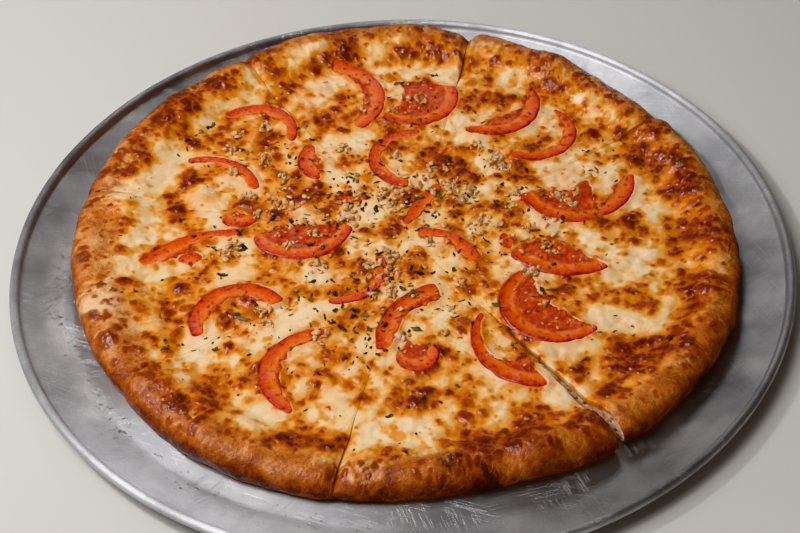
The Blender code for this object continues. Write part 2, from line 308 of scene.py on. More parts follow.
def build_pan():
    """The section carried round a full turn, its two ends pinched into one corner each."""
    radius, height = pan_profile()
    angle = np.arange(PAN_TURNS) / PAN_TURNS * math.tau
    angle, radius = np.meshgrid(angle, radius, indexing="ij")
    height = np.maximum(0.0, height + pan_dents(angle, radius))
    points = np.stack([radius * np.cos(angle), radius * np.sin(angle), height], -1).reshape(-1, 3)
    corners = np.arange(len(points)).reshape(radius.shape)
    corners[:, 0] = corners[0, 0]
    corners[:, -1] = corners[0, -1]
    triangles = cut_cells(np.vstack([corners, corners[:1]]))
    used, triangles = np.unique(triangles, return_inverse=True)
    points = points[used]
    beside = np.hypot(points[:, 0] - OIL_MIDDLE[0], points[:, 1] - OIL_MIDDLE[1])
    side = np.cos(np.arctan2(points[:, 1], points[:, 0]) - math.radians(OIL_SIDE))
    oil = smooth_step(-0.1, 0.6, side) * (1.0 - smooth_step(*OIL_REACH, beside))
    add_piece("pan_sheet", points, triangles.reshape(-1, 3), aluminium(), "pan", ["pan"], oil=oil)


build_pan()


# ---- Dough -----------------------------------------------------------------------------------------
# Eight slices of baked dough: thin under the cheese, puffed up into a glossy brown crust at the edge.
# They are cut with a wheel, so each side is a flat face that shows the pale open crumb.

GAP = 0.1  # between the slices and between the layers
CROSSING = (6.3, 8.2)  # where the cuts meet
FIELD_HEIGHT = 6.8
RIM_CREST = 10.0  # in from the outline
RIM_DROP = 0.16
FOOT_LIFT = 1.3  # of the outermost part of the underside off the pan
FOOT_FLAT = 14.0  # in from the outline, where it meets the pan
CUT_CREASE = 0.35
CORNER_LENGTH = 5.0
DOUGH_COLUMNS = 216
DOUGH_ROWS = 220
DOUGH_HIDDEN_ROWS = 171  # under the cheese
DOUGH_LAYERS = 26
HIDDEN_CELL = 8

# Each slice runs anticlockwise from its first cut to its last: the radii of its outline, its rim's
# height, how far the first cut gapes, and how deep the crust is nicked at its two cuts.
Slice = namedtuple("Slice", "name first last radii height opening nicks")
SLICES = (
    Slice("back_right", 33.0, 77.5, (168.5, 173.5, 183.0), 17.0, 0.0, (1.0, 4.5)),
    Slice("back", 77.5, 121.5, (181.5, 187.0, 185.0), 17.5, 0.0, (4.5, 1.0)),
    Slice("back_left", 121.5, 166.0, (185.0, 184.0, 182.0), 17.5, 0.0, (1.0, 0.5)),
    Slice("left", 166.0, 214.5, (182.0, 178.0, 176.5), 17.0, 0.0, (0.5, 2.0)),
    Slice("front_left", 214.5, 256.0, (176.5, 178.0, 174.5), 17.5, 0.0, (2.0, 2.4)),
    Slice("front", 256.0, 302.8, (174.0, 168.5, 171.5), 16.5, 0.0, (2.4, 1.6)),
    Slice("front_right", 302.8, 345.0, (169.5, 170.5, 171.5), 16.0, 5.0, (1.6, 1.2)),
    Slice("right", 345.0, 393.0, (171.5, 168.5, 172.0), 16.5, 0.0, (1.2, 1.0)),
)
NAMES = [piece.name for piece in SLICES]
FIRST, LAST, RADII, HEIGHT, OPENING, NICKS = (np.array(column) for column in list(zip(*SLICES))[1:])

# How far in from the outline the rim meets the flat field, at each slice's start, middle and end.
RIM_REACH = np.array([
    (32.0, 34.0, 36.0), (36.0, 38.0, 38.0), (38.0, 40.0, 44.0), (44.0, 48.0, 42.0),
    (42.0, 38.0, 34.0), (34.0, 32.0, 30.0), (30.0, 30.0, 30.0), (30.0, 30.0, 30.0),
])

# Where the dough or the cheese has blown up into a dome: x, y, radius and height.
DOMES = (
    (-143.0, 36.0, 22.0, 3.0), (-108.0, 50.0, 11.0, 2.4), (-152.0, -36.0, 20.0, 2.0),
    (-124.0, -92.0, 18.0, 2.0), (-96.0, 150.0, 20.0, 2.0), (92.0, 150.0, 18.0, 2.5),
    (150.0, -40.0, 20.0, 1.5), (62.0, -138.0, 18.0, 1.5),
)

# Wall of the crust from its foot up over the crest: distance in from the outline, share of the height.
WALL = ((3.5, 0.0), (0.8, 0.08), (0.0, 0.33), (0.9, 0.60), (4.0, 0.85), (10.0, 1.0), (16.0, 0.85))
WALL_TO_CREST = 5.0 / 6.0
WALL_LENGTH = 23.0


def clouds(shape, step, size, random):
    """Random bumps about size mm apart on a grid of step mm, with a spread of 1.

    White noise keeps only the waves near that length, through its Fourier transform, so the bumps
    carry on over the grid's edges.
    """
    across = np.fft.fftfreq(shape[0], step)[:, None]
    along = np.fft.rfftfreq(shape[1], step)[None, :]
    wave = np.hypot(across, along) * size
    waves = np.fft.rfft2(random.standard_normal(shape)) * wave * np.exp(-wave * wave)
    heights = np.fft.irfft2(waves, shape)
    return heights / heights.std()


def look_up(field, row, column):
    """Values of a grid at rows and columns that aren't whole numbers, wrapping at its edges."""
    low_row, low_column = np.floor(row).astype(int), np.floor(column).astype(int)
    down, right = row - low_row, column - low_column
    row_0, row_1 = low_row % field.shape[0], (low_row + 1) % field.shape[0]
    column_0, column_1 = low_column % field.shape[1], (low_column + 1) % field.shape[1]
    near = field[row_0, column_0] * (1 - right) + field[row_0, column_1] * right
    far = field[row_1, column_0] * (1 - right) + field[row_1, column_1] * right
    return near * (1 - down) + far * down


def block_skin(columns, rows, layers, hidden_rows=0, pinched=False):
    """Corner counts (column, row, layer) and triangles of the skin of a block of cells.

    Each face is a grid of corners. The underside and the first hidden_rows of the top keep their
    border but have one corner for each patch of cells inside it. Row 0 may be pinched into an edge.
    """

    def face(across, up, place, hidden=False):
        a, b = np.meshgrid(np.arange(across + 1), np.arange(up + 1), indexing="ij")
        if hidden:
            inside = (a > 0) & (a < across) & (b > 0) & (b < up)
            middle = HIDDEN_CELL // 2
            a, b = (
                np.where(inside, np.clip(n // HIDDEN_CELL * HIDDEN_CELL + middle, 1, last - 1), n)
                for n, last in ((a, across), (b, up))
            )
        column, row, layer = place(a, b)
        column = np.where((row == 0) & pinched, 0, column)
        return cut_cells((column * (rows + 1) + row) * (layers + 1) + layer)

    faces = [
        face(rows - hidden_rows, columns, lambda a, b: (b, a + hidden_rows, layers + 0 * a)),
        face(columns, rows, lambda a, b: (a, b, 0 * a), hidden=True),
        face(rows, layers, lambda a, b: (0 * a, a, b)),
        face(layers, rows, lambda a, b: (columns + 0 * a, b, a)),
        face(columns, layers, lambda a, b: (a, rows + 0 * a, b)),
        face(layers, columns, lambda a, b: (b, 0 * a, a)),
    ]
    if hidden_rows:
        faces.append(face(hidden_rows, columns, lambda a, b: (b, a, layers + 0 * a), hidden=True))
    used, triangles = np.unique(np.concatenate(faces), return_inverse=True)
    rest, layer = np.divmod(used, layers + 1)
    column, row = np.divmod(rest, rows + 1)
    return column, row, layer, triangles.reshape(-1, 3)


def smooth_curve(control, share):
    """Points at shares 0 to 1 of a Catmull-Rom curve through evenly spaced control points."""
    control = np.asarray(control, float)
    padded = np.vstack([2 * control[0] - control[1], control, 2 * control[-1] - control[-2]])
    place = np.clip(share, 0.0, 1.0) * (len(control) - 1)
    index = np.minimum(place.astype(int), len(control) - 2)
    t = (place - index)[..., None]
    a, b, c, d = (padded[index + i] for i in range(4))
    return 0.5 * (2 * b + (c - a) * t + (2 * a - 5 * b + 4 * c - d) * t**2 + (3 * b - a - 3 * c + d) * t**3)


def through_three(values, k, share):
    """Parabola through a slice's three values, for its start, middle and end, at shares 0 to 1."""
    first = values[k, 0] * 2.0 * (share - 0.5) * (share - 1.0)
    return first - values[k, 1] * 4.0 * share * (share - 1.0) + values[k, 2] * 2.0 * share * (share - 0.5)


def outline(k, share):
    """Radius of slice k's outline: a parabola through its three radii, with both corners pinched."""
    radius = through_three(RADII, k, share)
    corner = np.minimum(share, 1.0 - share) * np.radians(LAST[k] - FIRST[k]) * radius
    pinch = 0.6 + 0.35 * np.where(share < 0.5, NICKS[k, 0], NICKS[k, 1])
    return radius - pinch * np.exp(-((corner / CORNER_LENGTH) ** 2))


def rim_height(k, share):
    """Height of the rim's crest, lower at the cuts and slightly wavy between them."""
    wave = 0.03 * np.sin(math.tau * (1.7 * share + FIRST[k] / 90.0))
    return HEIGHT[k] * (1.0 - RIM_DROP * (2.0 * share - 1.0) ** 4 + wave)


def domes(x, y):
    """Height that the blown-up domes add: each is a smooth bump of its own radius."""
    total = np.zeros_like(x)
    for centre_x, centre_y, radius, height in DOMES:
        total += height * (1.0 - smooth_step(0.0, 1.0, np.hypot(x - centre_x, y - centre_y) / radius))
    return total


def pan_top(distance):
    """Height of the pan's upper face at a distance from its middle."""
    return PAN_SHEET + RIM_SLOPE * np.maximum(0.0, distance - FLOOR_RADIUS)


def slice_angle(k, share):
    """Degrees round the crossing, at a share of the way from a slice's first cut to its last."""
    return FIRST[k] + (LAST[k] - FIRST[k]) * share


def slice_point(k, share, radius):
    """Plan position of a point of a slice, drawn back from both cuts by half a gap."""
    angle = np.radians(slice_angle(k, share))
    half, middle = np.radians(LAST[k] - FIRST[k]) / 2, np.radians(FIRST[k] + LAST[k]) / 2
    tip = GAP / 2 / np.sin(half)
    gape = OPENING[k] * smooth_step(40.0, RADII[k, 0], radius) * (1.0 - share)
    side = np.radians(FIRST[k] + 90.0)
    x = CROSSING[0] + tip * np.cos(middle) + radius * np.cos(angle) + gape * np.cos(side)
    y = CROSSING[1] + tip * np.sin(middle) + radius * np.sin(angle) + gape * np.sin(side)
    return x, y


FIELD_STEP = 0.4
FIELD_CELLS = 960

# How much of the cheese is browned less than each tone.
TOAST_SHARES = (0.0, 0.15, 0.31, 0.62, 0.82, 0.955, 1.0)
TOAST_TONES = (0.0, 0.095, 0.235, 0.425, 0.58, 0.78, 0.96)
BLISTERS_ON_CRUST = 0.7

# Sets of blisters: spacing, least and greatest radius, likelihood, and height over radius.
BLISTERS = ((9.5, (2.8, 4.6), 0.9, 0.34), (6.0, (1.9, 3.1), 1.2, 0.38), (4.2, (1.1, 1.9), 1.2, 0.42))

# How far in from the outline the cheese stops, at the start, middle and end of each slice.
CHEESE_REACH = np.array([
    (8.0, 9.0, 8.0), (9.0, 9.0, 8.0), (8.0, 9.0, 12.0), (13.0, 18.0, 15.0),
    (12.0, 11.0, 12.0), (11.0, 10.0, 10.0), (9.0, 9.0, 7.0), (7.0, 7.0, 8.0),
])

# Browned patches: x, y, radius and how strongly browned. Negative ones stay clean.
PATCHES = (
    (-81, 160, 12, 0.6), (-127, 49, 3.5, 1.3), (-121, 43, 3.5, 1.3), (-134, 54, 3.5, 1.0),
    (-118, 36, 3, 1.0), (-98, -107, 15, 1.0), (-125, -85, 8, 0.4), (-135, -73, 9, 0.4),
    (-90, -70, 7, 0.7), (-115, -45, 7, 0.5), (-135, -35, 9, 0.1), (-120, -23, 7, 0.6),
    (-50, -121, 9, 0.7), (-10, -142, 6, 1.0), (38, -136, 12, 1.0), (58, -134, 13, 1.0),
    (30, -155, 9, 1.0), (65, -117, 8, 0.8), (85, -130, 11, 0.9), (98, -105, 9, 0.9), (115, -80, 14, 1.0),
    (135, -73, 9, 1.0), (76, -85, 4, 0.9), (87, -85, 4, 0.8), (12, -84, 5, 0.8), (10, -103, 7, 1.0),
    (24, -100, 5, 0.8), (105, 15, 8, 0.8), (125, 12, 7, 0.8), (68, 55, 7, 1.0), (25, 68, 8, 0.9),
    (37, 56, 6, 0.9), (112, 68, 5, 1.0), (60, 125, 8, 0.8), (48, 130, 6, 0.8), (82, 93, 6, 0.9),
    (115, 130, 12, 0.6), (142, 65, 12, 0.8), (150, 40, 14, 0.9), (152, 5, 14, 1.0), (148, -35, 14, 1.0),
    (-122, 122, 12, 0.9), (-135, 110, 10, 0.9), (-103, 137, 10, 0.8), (-40, 110, 7, 1.0),
    (-30, 130, 7, 0.7), (-55, 47, 9, 1.0), (-44, 50, 6, 0.9), (-115, 62, 7, 0.9), (-78, 100, 10, 0.6),
    (-150, 70, 10, 0.5), (-155, 85, 9, 0.5), (-20, 160, 12, 0.3), (20, 165, 10, 0.3), (60, 155, 10, 0.3),
    (-100, -62, 11, -1.0), (105, -55, 12, -1.2), (75, -75, 11, -0.7), (-20, 30, 10, -0.9),
    (-130, 60, 10, -1.0), (-35, 62, 8, -0.8), (-145, 34, 15, -0.4), (-108, 50, 10, -0.8),
    (-60, -55, 9, -0.7), (-85, -5, 12, -0.6), (22, -40, 12, -0.6), (40, -60, 8, -0.6),
    (10, 10, 10, -0.5), (75, -105, 10, -0.8), (125, 40, 10, -0.8), (20, -112, 9, -0.5),
    (-70, -118, 10, -0.8), (70, 110, 8, -0.7), (0, 130, 8, -0.7), (-128, -12, 9, -0.7),
    (120, -18, 9, -0.9), (135, -45, 7, -0.7), (60, 40, 7, -0.5), (-50, 80, 7, -0.4), (30, 110, 10, -0.6),
)

field_random = np.random.default_rng(41)
field_axis = (np.arange(FIELD_CELLS) - FIELD_CELLS / 2) * FIELD_STEP
field_x, field_y = np.meshgrid(field_axis, field_axis, indexing="ij")


def field_clouds(size):
    """Random bumps over a map of the whole pizza."""
    return clouds(field_x.shape, FIELD_STEP, size, field_random)


def on_field(field, x, y):
    """Value of a map of the whole pizza at plan positions."""
    return look_up(field, x / FIELD_STEP + FIELD_CELLS / 2, y / FIELD_STEP + FIELD_CELLS / 2)


def field_cell(x, y):
    """Row and column of the cell of such a map that holds each plan position."""
    place = np.stack([x, y]) / FIELD_STEP + FIELD_CELLS / 2
    return tuple(np.clip(np.rint(place).astype(int), 0, FIELD_CELLS - 1))


def soften(field, size):
    """A map blurred with a Gaussian of that radius."""
    across = np.fft.fftfreq(field.shape[0], FIELD_STEP)[:, None]
    along = np.fft.rfftfreq(field.shape[1], FIELD_STEP)[None, :]
    keep = np.exp(-2.0 * (math.pi * size) ** 2 * (across**2 + along**2))
    return np.fft.irfft2(np.fft.rfft2(field) * keep, field.shape)


def slice_at(x, y):
    """Slice, share of the way from its first cut to its last, and radius, at plan positions."""
    across, along = x - CROSSING[0], y - CROSSING[1]
    angle = (np.degrees(np.arctan2(along, across)) - FIRST[0]) % 360.0 + FIRST[0]
    k = np.searchsorted(FIRST, angle, side="right") - 1
    return k, (angle - FIRST[k]) / (LAST[k] - FIRST[k]), np.hypot(across, along)


def browning():
    """How readily each place browns, from 0 to 1: chance, the ring near the rim and the patches."""
    total = 0.36 + 0.17 * field_clouds(30.0) + 0.15 * field_clouds(12.0)
    total += 0.15 * (1.0 - smooth_step(14.0, 40.0, field_inset))
    for x, y, radius, strength in PATCHES:
        reach = np.hypot(field_x - x, field_y - y) / radius
        total += 0.55 * strength * (1.0 - smooth_step(0.3, 1.5, reach))
    return np.clip(total, 0.0, 1.0)


def add_blisters(places, radii, heights, strengths, warp):
    """Raises a dome on the map of blisters at each place, and marks it in heat and its top in core.

    A dome is height times (1 - d squared), less where it is weakly browned, d being the distance
    over the radius, warped so that no outline is round. The highest dome at a cell counts.
    """
    for (row, column), radius, height, strength in zip(places, radii, heights, strengths):
        reach = int(math.ceil(1.6 * radius / FIELD_STEP)) + 2
        cells = np.arange(-reach, reach + 1)
        window = np.ix_((cells + int(row)) % FIELD_CELLS, (cells + int(column)) % FIELD_CELLS)
        down = (cells - row % 1.0)[:, None] * FIELD_STEP / radius
        right = (cells - column % 1.0)[None, :] * FIELD_STEP / radius
        away = np.hypot(down + warp[0][window], right + warp[1][window])
        dome = (0.25 + 0.75 * strength) * height * np.clip(1.0 - away**2, 0.0, 1.0)
        heat = strength * (1.0 - smooth_step(0.4, 1.3, away))
        core = strength * (1.0 - smooth_step(0.45, 0.85, away))
        for field, value in ((field_blisters, dome), (field_heat, heat), (field_core, core)):
            field[window] = np.maximum(field[window], value)


def scatter_blisters(spacing, radii, likely, lift):
    """Blisters on a jittered grid: each is kept by chance, more often where it browns readily."""
    count = int(FIELD_CELLS * FIELD_STEP / spacing)
    row, column = np.meshgrid(np.arange(count), np.arange(count), indexing="ij")
    jitter = field_random.uniform(0.0, 1.0, (2, count, count))
    place = np.stack([row + jitter[0], column + jitter[1]], -1).reshape(-1, 2) * spacing / FIELD_STEP
    chance, size = field_random.uniform(0.0, 1.0, len(place)), field_random.uniform(*radii, len(place))
    readily = look_up(field_brown, place[:, 0], place[:, 1])
    inset = look_up(field_inset, place[:, 0], place[:, 1])
    keep = (chance < likely * readily) & (inset > 1.0)
    size = size * (0.7 + 0.5 * readily)
    strength = np.clip(readily + field_random.normal(0.0, 0.26, len(place)), 0.03, 1.0)
    warp = [0.16 * field_clouds(2.2 * radii[1]) + 0.06 * field_clouds(0.9 * radii[1]) for _ in range(2)]
    add_blisters(place[keep], size[keep], lift * size[keep], strength[keep], warp)


field_slice, field_share, field_radius = slice_at(field_x, field_y)
field_inset = outline(field_slice, field_share) - field_radius
field_brown = browning()
field_blisters, field_heat, field_core = (np.zeros(field_x.shape) for _ in range(3))
for spacing, radii, likely, lift in BLISTERS:
    scatter_blisters(spacing, radii, likely, lift)
field_gold = smooth_step(0.30, 0.66, field_brown + 0.10 * field_clouds(6.0))
field_toast = (
    0.02 * field_clouds(9.0)
    + 0.14 * field_gold
    + 0.30 * field_heat
    + 0.42 * field_core**2
    + 0.30 * soften(field_heat, 2.2)
    + 0.26 * soften(field_heat, 5.0)
    + 0.03 * field_clouds(2.2) * (0.25 + field_heat)
)
toast_steps = np.quantile(field_toast[field_inset > 2.0], TOAST_SHARES)
field_toast = np.interp(field_toast, toast_steps, TOAST_TONES)


# The crust's own relief and tone are strips unrolled from it: along them the angle, across them the
# way over the crest, from 32 mm inside it to 32 mm down the wall.
STRIP_STEP = 0.5
STRIP_SHAPE = (2200, 128)
STRIP_MIDDLE = 32.0
crust_random = np.random.default_rng(23)


def strip_clouds(size):
    """Random bumps over a strip of crust."""
    return clouds(STRIP_SHAPE, STRIP_STEP, size, crust_random)


crust_swell = 0.45 * strip_clouds(40.0) + 0.22 * strip_clouds(17.0) + 0.06 * strip_clouds(7.0)
crust_grain = 0.08 * strip_clouds(2.6) + 0.035 * strip_clouds(1.4)
crust_tone = 0.55 * strip_clouds(30.0) + 0.4 * strip_clouds(12.0) + 0.3 * strip_clouds(5.0)
crust_ragged = 0.9 * strip_clouds(7.0)


def on_strip(field, k, share, across):
    """Value of a strip at a slice's share and at a distance across, in mm, outward from the crest."""
    turn = slice_angle(k, share) / 360.0
    return look_up(field, turn * STRIP_SHAPE[0], (across + STRIP_MIDDLE) / STRIP_STEP)


def crease(k, share, radius):
    """How far the surface falls towards the cuts: slightly on the field, and by the nicks at the rim."""
    sweep = np.radians(LAST[k] - FIRST[k]) * radius
    rim = smooth_step(outline(k, 0.5) - 45.0, outline(k, 0.5) - 12.0, radius)
    fall = 0.0
    for distance, nick in ((share * sweep, NICKS[k, 0]), ((1.0 - share) * sweep, NICKS[k, 1])):
        depth = CUT_CREASE + (nick - CUT_CREASE) * rim
        fall = fall + depth * np.exp(-((distance / (1.0 + 1.2 * rim)) ** 2))
    return fall


def crust_place(k, share, across):
    """Plan position on the maps of a point of the crust, at a distance outward over its crest."""
    beyond = np.where(across < 0.0, across, RIM_CREST * np.tanh(across / RIM_CREST))
    return slice_point(k, share, outline(k, share) - RIM_CREST + beyond)


def cheese_stop(k, share):
    """Distance in from the outline to the cheese's ragged edge."""
    reach = through_three(CHEESE_REACH, k, share)
    ragged = 1.5 * on_strip(crust_tone, k, share, -10.0) + 0.8 * on_strip(crust_ragged, k, share, 5.0)
    return np.clip(reach + ragged, 5.5, 24.0)


def melt(from_stop):
    """Share of its full relief that the cheese has near its edge. The dough there has the rest."""
    return smooth_step(0.0, 3.0, from_stop)


def crust_push(k, share, across):
    """How far the crust's relief stands out, fading to nothing on the flat field."""
    relief = on_strip(crust_swell + crust_grain, k, share, across) * smooth_step(-24.0, -6.0, across)
    bare = 1.0 - melt(RIM_CREST - across - cheese_stop(k, share))
    bare = bare * BLISTERS_ON_CRUST * (1.0 - smooth_step(-2.0, 5.0, across))
    return relief + on_field(field_blisters, *crust_place(k, share, across)) * bare


def dough_height(k, share, radius):
    """Height of the dough's top inside its crest."""
    inset = outline(k, share) - radius
    crest = rim_height(k, share)
    x, y = slice_point(k, share, radius)
    fall = smooth_step(RIM_CREST, through_three(RIM_REACH, k, share), inset)
    height = crest + (FIELD_HEIGHT - crest) * fall + domes(x, y)
    return height + crust_push(k, share, RIM_CREST - inset) - crease(k, share, radius)


def dough_points(k, u, v, w):
    """Radius and height of a slice's points: u from cut to cut, v from tip to rim, w from foot to top.

    The section is filled evenly between the underside and the top, from a straight upright tip, and
    is bent in step with v until it meets the curve of the crust's wall.
    """
    edge = outline(k, u)
    under_edge, over_edge = edge - WALL[0][0], edge - RIM_CREST

    def floor(radius):
        x, y = slice_point(k, u, radius)
        lift = FOOT_LIFT * (1.0 - smooth_step(WALL[0][0], FOOT_FLAT, edge - radius))
        return pan_top(np.hypot(x, y)) + GAP + lift

    inset, up = np.moveaxis(smooth_curve(WALL, w * WALL_TO_CREST), -1, 0)
    foot, top = floor(under_edge), dough_height(k, u, over_edge)
    lean = (1.0 - w) * math.radians(100.0)
    push = crust_push(k, u, (1.0 - w) * WALL_LENGTH) * smooth_step(0.0, 0.12, w)
    wall = edge - inset + push * np.sin(lean)
    wall_height = foot + (top - crust_push(k, u, 0.0) - foot) * up + push * np.cos(lean)
    radius = v * wall
    height = (1 - w) * floor(v * under_edge) + w * dough_height(k, u, v * over_edge)
    height = height + v * (wall_height - (1 - w) * foot - w * top)
    return radius, height


CRUMB_STEP = 0.35
CRUMB_SHAPE = (560, 96)
HOLE_DEPTH = 1.1
crumb_random = np.random.default_rng(5)
crumb_holes = sum(
    share * clouds(CRUMB_SHAPE, CRUMB_STEP, size, crumb_random)
    for size, share in ((5.0, 0.8), (2.6, 0.7), (1.3, 0.5))
)

# Colours of baked dough from pale to burnt, and of melted cheese from cream to nearly black.
CRUST_TONES = (
    (0.0, (230, 190, 146)), (0.22, (214, 154, 96)), (0.42, (194, 116, 58)), (0.6, (162, 80, 30)),
    (0.8, (114, 42, 8)), (1.0, (66, 22, 8)),
)
CHEESE_TONES = (
    (0.0, (244, 222, 188)), (0.11, (239, 200, 148)), (0.24, (231, 166, 90)), (0.38, (214, 129, 42)),
    (0.52, (184, 90, 18)), (0.66, (146, 54, 8)), (0.84, (102, 26, 2)), (1.0, (58, 14, 3)),
)


def baked_group():
    """A node group for what the oven has browned: melted cheese, bare crust, or anything between.

    Toast browns the cheese and the crust's own input browns the crust, with painted light and shade in it,
    and Bare says how much of it is crust. Both are mottled, the crust has dark and pale flecks and fine
    creases, painted darker as shade, and browned cheese has small bubbles.
    """
    inputs = (("Vector", "Vector"), ("Toast", "Float"), ("Bake", "Float"), ("Bare", "Float"))
    outputs = (("Colour", "Color"), ("Height", "Float"), ("Roughness", "Float"))
    group, (vector, toast, bake, bare), end = new_group("Baked surface", inputs, outputs)
    fine = noise(group, vector, 650.0, roughness=0.6)
    mottle = noise(group, vector, 230.0, detail=4.0, roughness=0.6)
    fleck = noise(group, vector, 1300.0, detail=2.0)
    inputs = {"Vector": vector, "Scale": 520.0, "Randomness": 1.0}
    cells = add_node(group, "ShaderNodeTexVoronoi", inputs, feature="SMOOTH_F1").outputs["Distance"]
    browned = spread(group, toast, 0.2, 0.55)

    uneven = weigh(group, (fine, 1.0), (mottle, 1.0), start=-1.0)
    tone = weigh(group, (uneven, weigh(group, (browned, 0.13), start=0.05)), start=toast, clamp=True)
    oiled = spread(group, noise(group, vector, 60.0, detail=2.0), 0.48, 0.64, 0.0, 0.55)
    oiled = calculate(group, "MULTIPLY", oiled, calculate(group, "SUBTRACT", 1.0, browned))

    # Fine creases in the crust: sunk by the bump, and painted darker in colour as shade.
    folds_and_painted_shade = noise(group, vector, 170.0, roughness=0.6, distortion=1.2)
    folds_and_painted_shade = calculate(group, "ABSOLUTE", calculate(group, "SUBTRACT", folds_and_painted_shade, 0.5))
    folds_and_painted_shade = calculate(group, "MULTIPLY", spread(group, folds_and_painted_shade, 0.0, 0.05, 1.0, 0.0), bare)
    crust = weigh(group, (mottle, 0.42), (fine, 0.3), (bake, 1.0), (folds_and_painted_shade, 0.07), start=-0.36)
    dark, pale = spread(group, fleck, 0.62, 0.72, 0.0, 0.26), spread(group, fleck, 0.38, 0.28, 0.0, -0.2)
    crust = weigh(group, (dark, 1.0), (pale, 1.0), start=crust, clamp=True)
    made = blend(group, bare, ramp(group, tone, CHEESE_TONES), ramp(group, crust, CRUST_TONES))
    made = blend(group, oiled, made, colour(252, 232, 186), "MULTIPLY")

    bubbles = calculate(group, "MULTIPLY", calculate(group, "MULTIPLY", cells, cells), browned)
    bubbles = calculate(group, "MULTIPLY", bubbles, calculate(group, "SUBTRACT", 1.0, bare))
    grain = calculate(group, "MULTIPLY", fine, bare)
    height = weigh(group, (fine, 0.6), (mottle, 1.0), (bubbles, -1.8), (grain, 0.9), (folds_and_painted_shade, -0.5))
    shine = weigh(group, (bare, 0.2), start=spread(group, toast, 0.1, 0.6, 0.24, 0.2))
    shine = weigh(group, (spread(group, mottle, 0.52, 0.62, 0.0, -0.08), 1.0), start=shine, clamp=True)
    for key, output in (("Colour", made), ("Height", height), ("Roughness", shine)):
        group.links.new(output, end.inputs[key])
    return group


BAKED_GROUP = baked_group()


def add_baked(tree):
    """The shared group in a material, fed by its place and by the piece's own attributes."""
    made = add_node(tree, "ShaderNodeGroup", {}, node_tree=BAKED_GROUP)
    tree.links.new(object_place(tree), made.inputs["Vector"])
    for name in ("Toast", "Bake", "Bare"):
        tree.links.new(attribute(tree, name.lower()), made.inputs[name])
    return made.outputs


def baked_dough():
    """Glossy brown crust, with pale pinkish crumb where the attribute crumb says that it is cut."""
    made, tree, shader = new_material(
        "Baked dough", IOR=1.4, Subsurface_Weight=0.15, Subsurface_Scale=0.002,
        Subsurface_Radius=(1.0, 0.5, 0.25),
    )
    cut = attribute(tree, "crumb")
    crust = add_baked(tree)
    pores = noise(tree, object_place(tree), 900.0)
    # The crumb is painted darker in its holes: painted shade in those hollows. The pores vary its tone at
    # random.
    tone = weigh(tree, (attribute(tree, "hole"), 0.5), (pores, 0.5))
    crumb = ramp(tree, tone, ((0.2, (234, 196, 170)), (0.45, (214, 164, 134)), (0.85, (146, 88, 60))))
    tint = blend(tree, cut, crust["Colour"], crumb)
    rough = weigh(tree, (cut, 0.4), start=crust["Roughness"], clamp=True)
    height = weigh(tree, (calculate(tree, "MULTIPLY", pores, cut), 2.0), start=crust["Height"])
    finish_surface(tree, shader, tint, rough, height, 0.6, 0.0004)
    return made


# Burnt patches of the crust, and floury ones that stayed pale: x, y, radius and how much darker.
CRUST_MARKS = (
    (21, -148, 7, 0.4), (36, -156, 7, 0.5), (48, -162, 7, 0.5), (60, -140, 7, 0.25), (162, -4, 6, 0.3),
    (156, -40, 6, 0.3), (-41, 171, 6, 0.4), (11, 173, 5, 0.3), (23, 171, 5, 0.3), (34, 166, 5, 0.3),
    (-32, -145, 8, -0.4), (-24, -146, 8, -0.4), (-15, -152, 7, -0.4), (160, -13, 9, -0.3),
    (160, -27, 9, -0.3), (-156, -37, 13, -0.25), (-147, -44, 13, -0.2), (-136, -55, 12, -0.15),
)


def crust_bake(k, share, across):
    """How dark the crust is: by its marks, darker low on the wall, with light and shade painted on by side.
    """
    around = np.radians(slice_angle(k, share))
    # pale and back lighten the crust at the left and at the back right: painted light. shade darkens the low
    # wall at the front left: painted shade.
    pale, back, shade = (
        np.clip(np.cos(around - math.radians(side)), 0.0, 1.0) ** power
        for side, power in ((184.0, 4), (55.0, 1), (222.0, 8))
    )
    # The wall darkens low down: partly a darker bake, partly painted shade.
    bake = 0.53 - 0.2 * pale - 0.13 * back + (0.26 + 0.12 * shade) * smooth_step(2.0, 14.0, across)
    bloom = smooth_step(0.8, 1.7, on_strip(crust_tone, k, share, across + 16.0))
    bloom = bloom * (1.0 - smooth_step(2.0, 9.0, across))
    x, y = crust_place(k, share, across)
    ragged = 0.2 * on_strip(crust_ragged, k, share, across)
    for mark_x, mark_y, radius, darker in CRUST_MARKS:
        reach = np.hypot(x - mark_x, y - mark_y) / radius + ragged
        bake = bake + darker * (1.0 - smooth_step(0.3, 1.2, reach))
    return bake + 0.12 * on_strip(crust_tone, k, share, across) - 0.26 * bloom


def bareness(k, share, across):
    """Share of bare crust in the colour: all of it past the cheese's edge, less on browned blisters."""
    x, y = crust_place(k, share, across)
    bare = 1.0 - smooth_step(-1.0, 11.0, RIM_CREST - across - cheese_stop(k, share))
    blistered = smooth_step(0.25, 0.6, on_field(field_heat, x, y)) * (1.0 - smooth_step(2.0, 12.0, across))
    return bare * (1.0 - 0.9 * blistered)


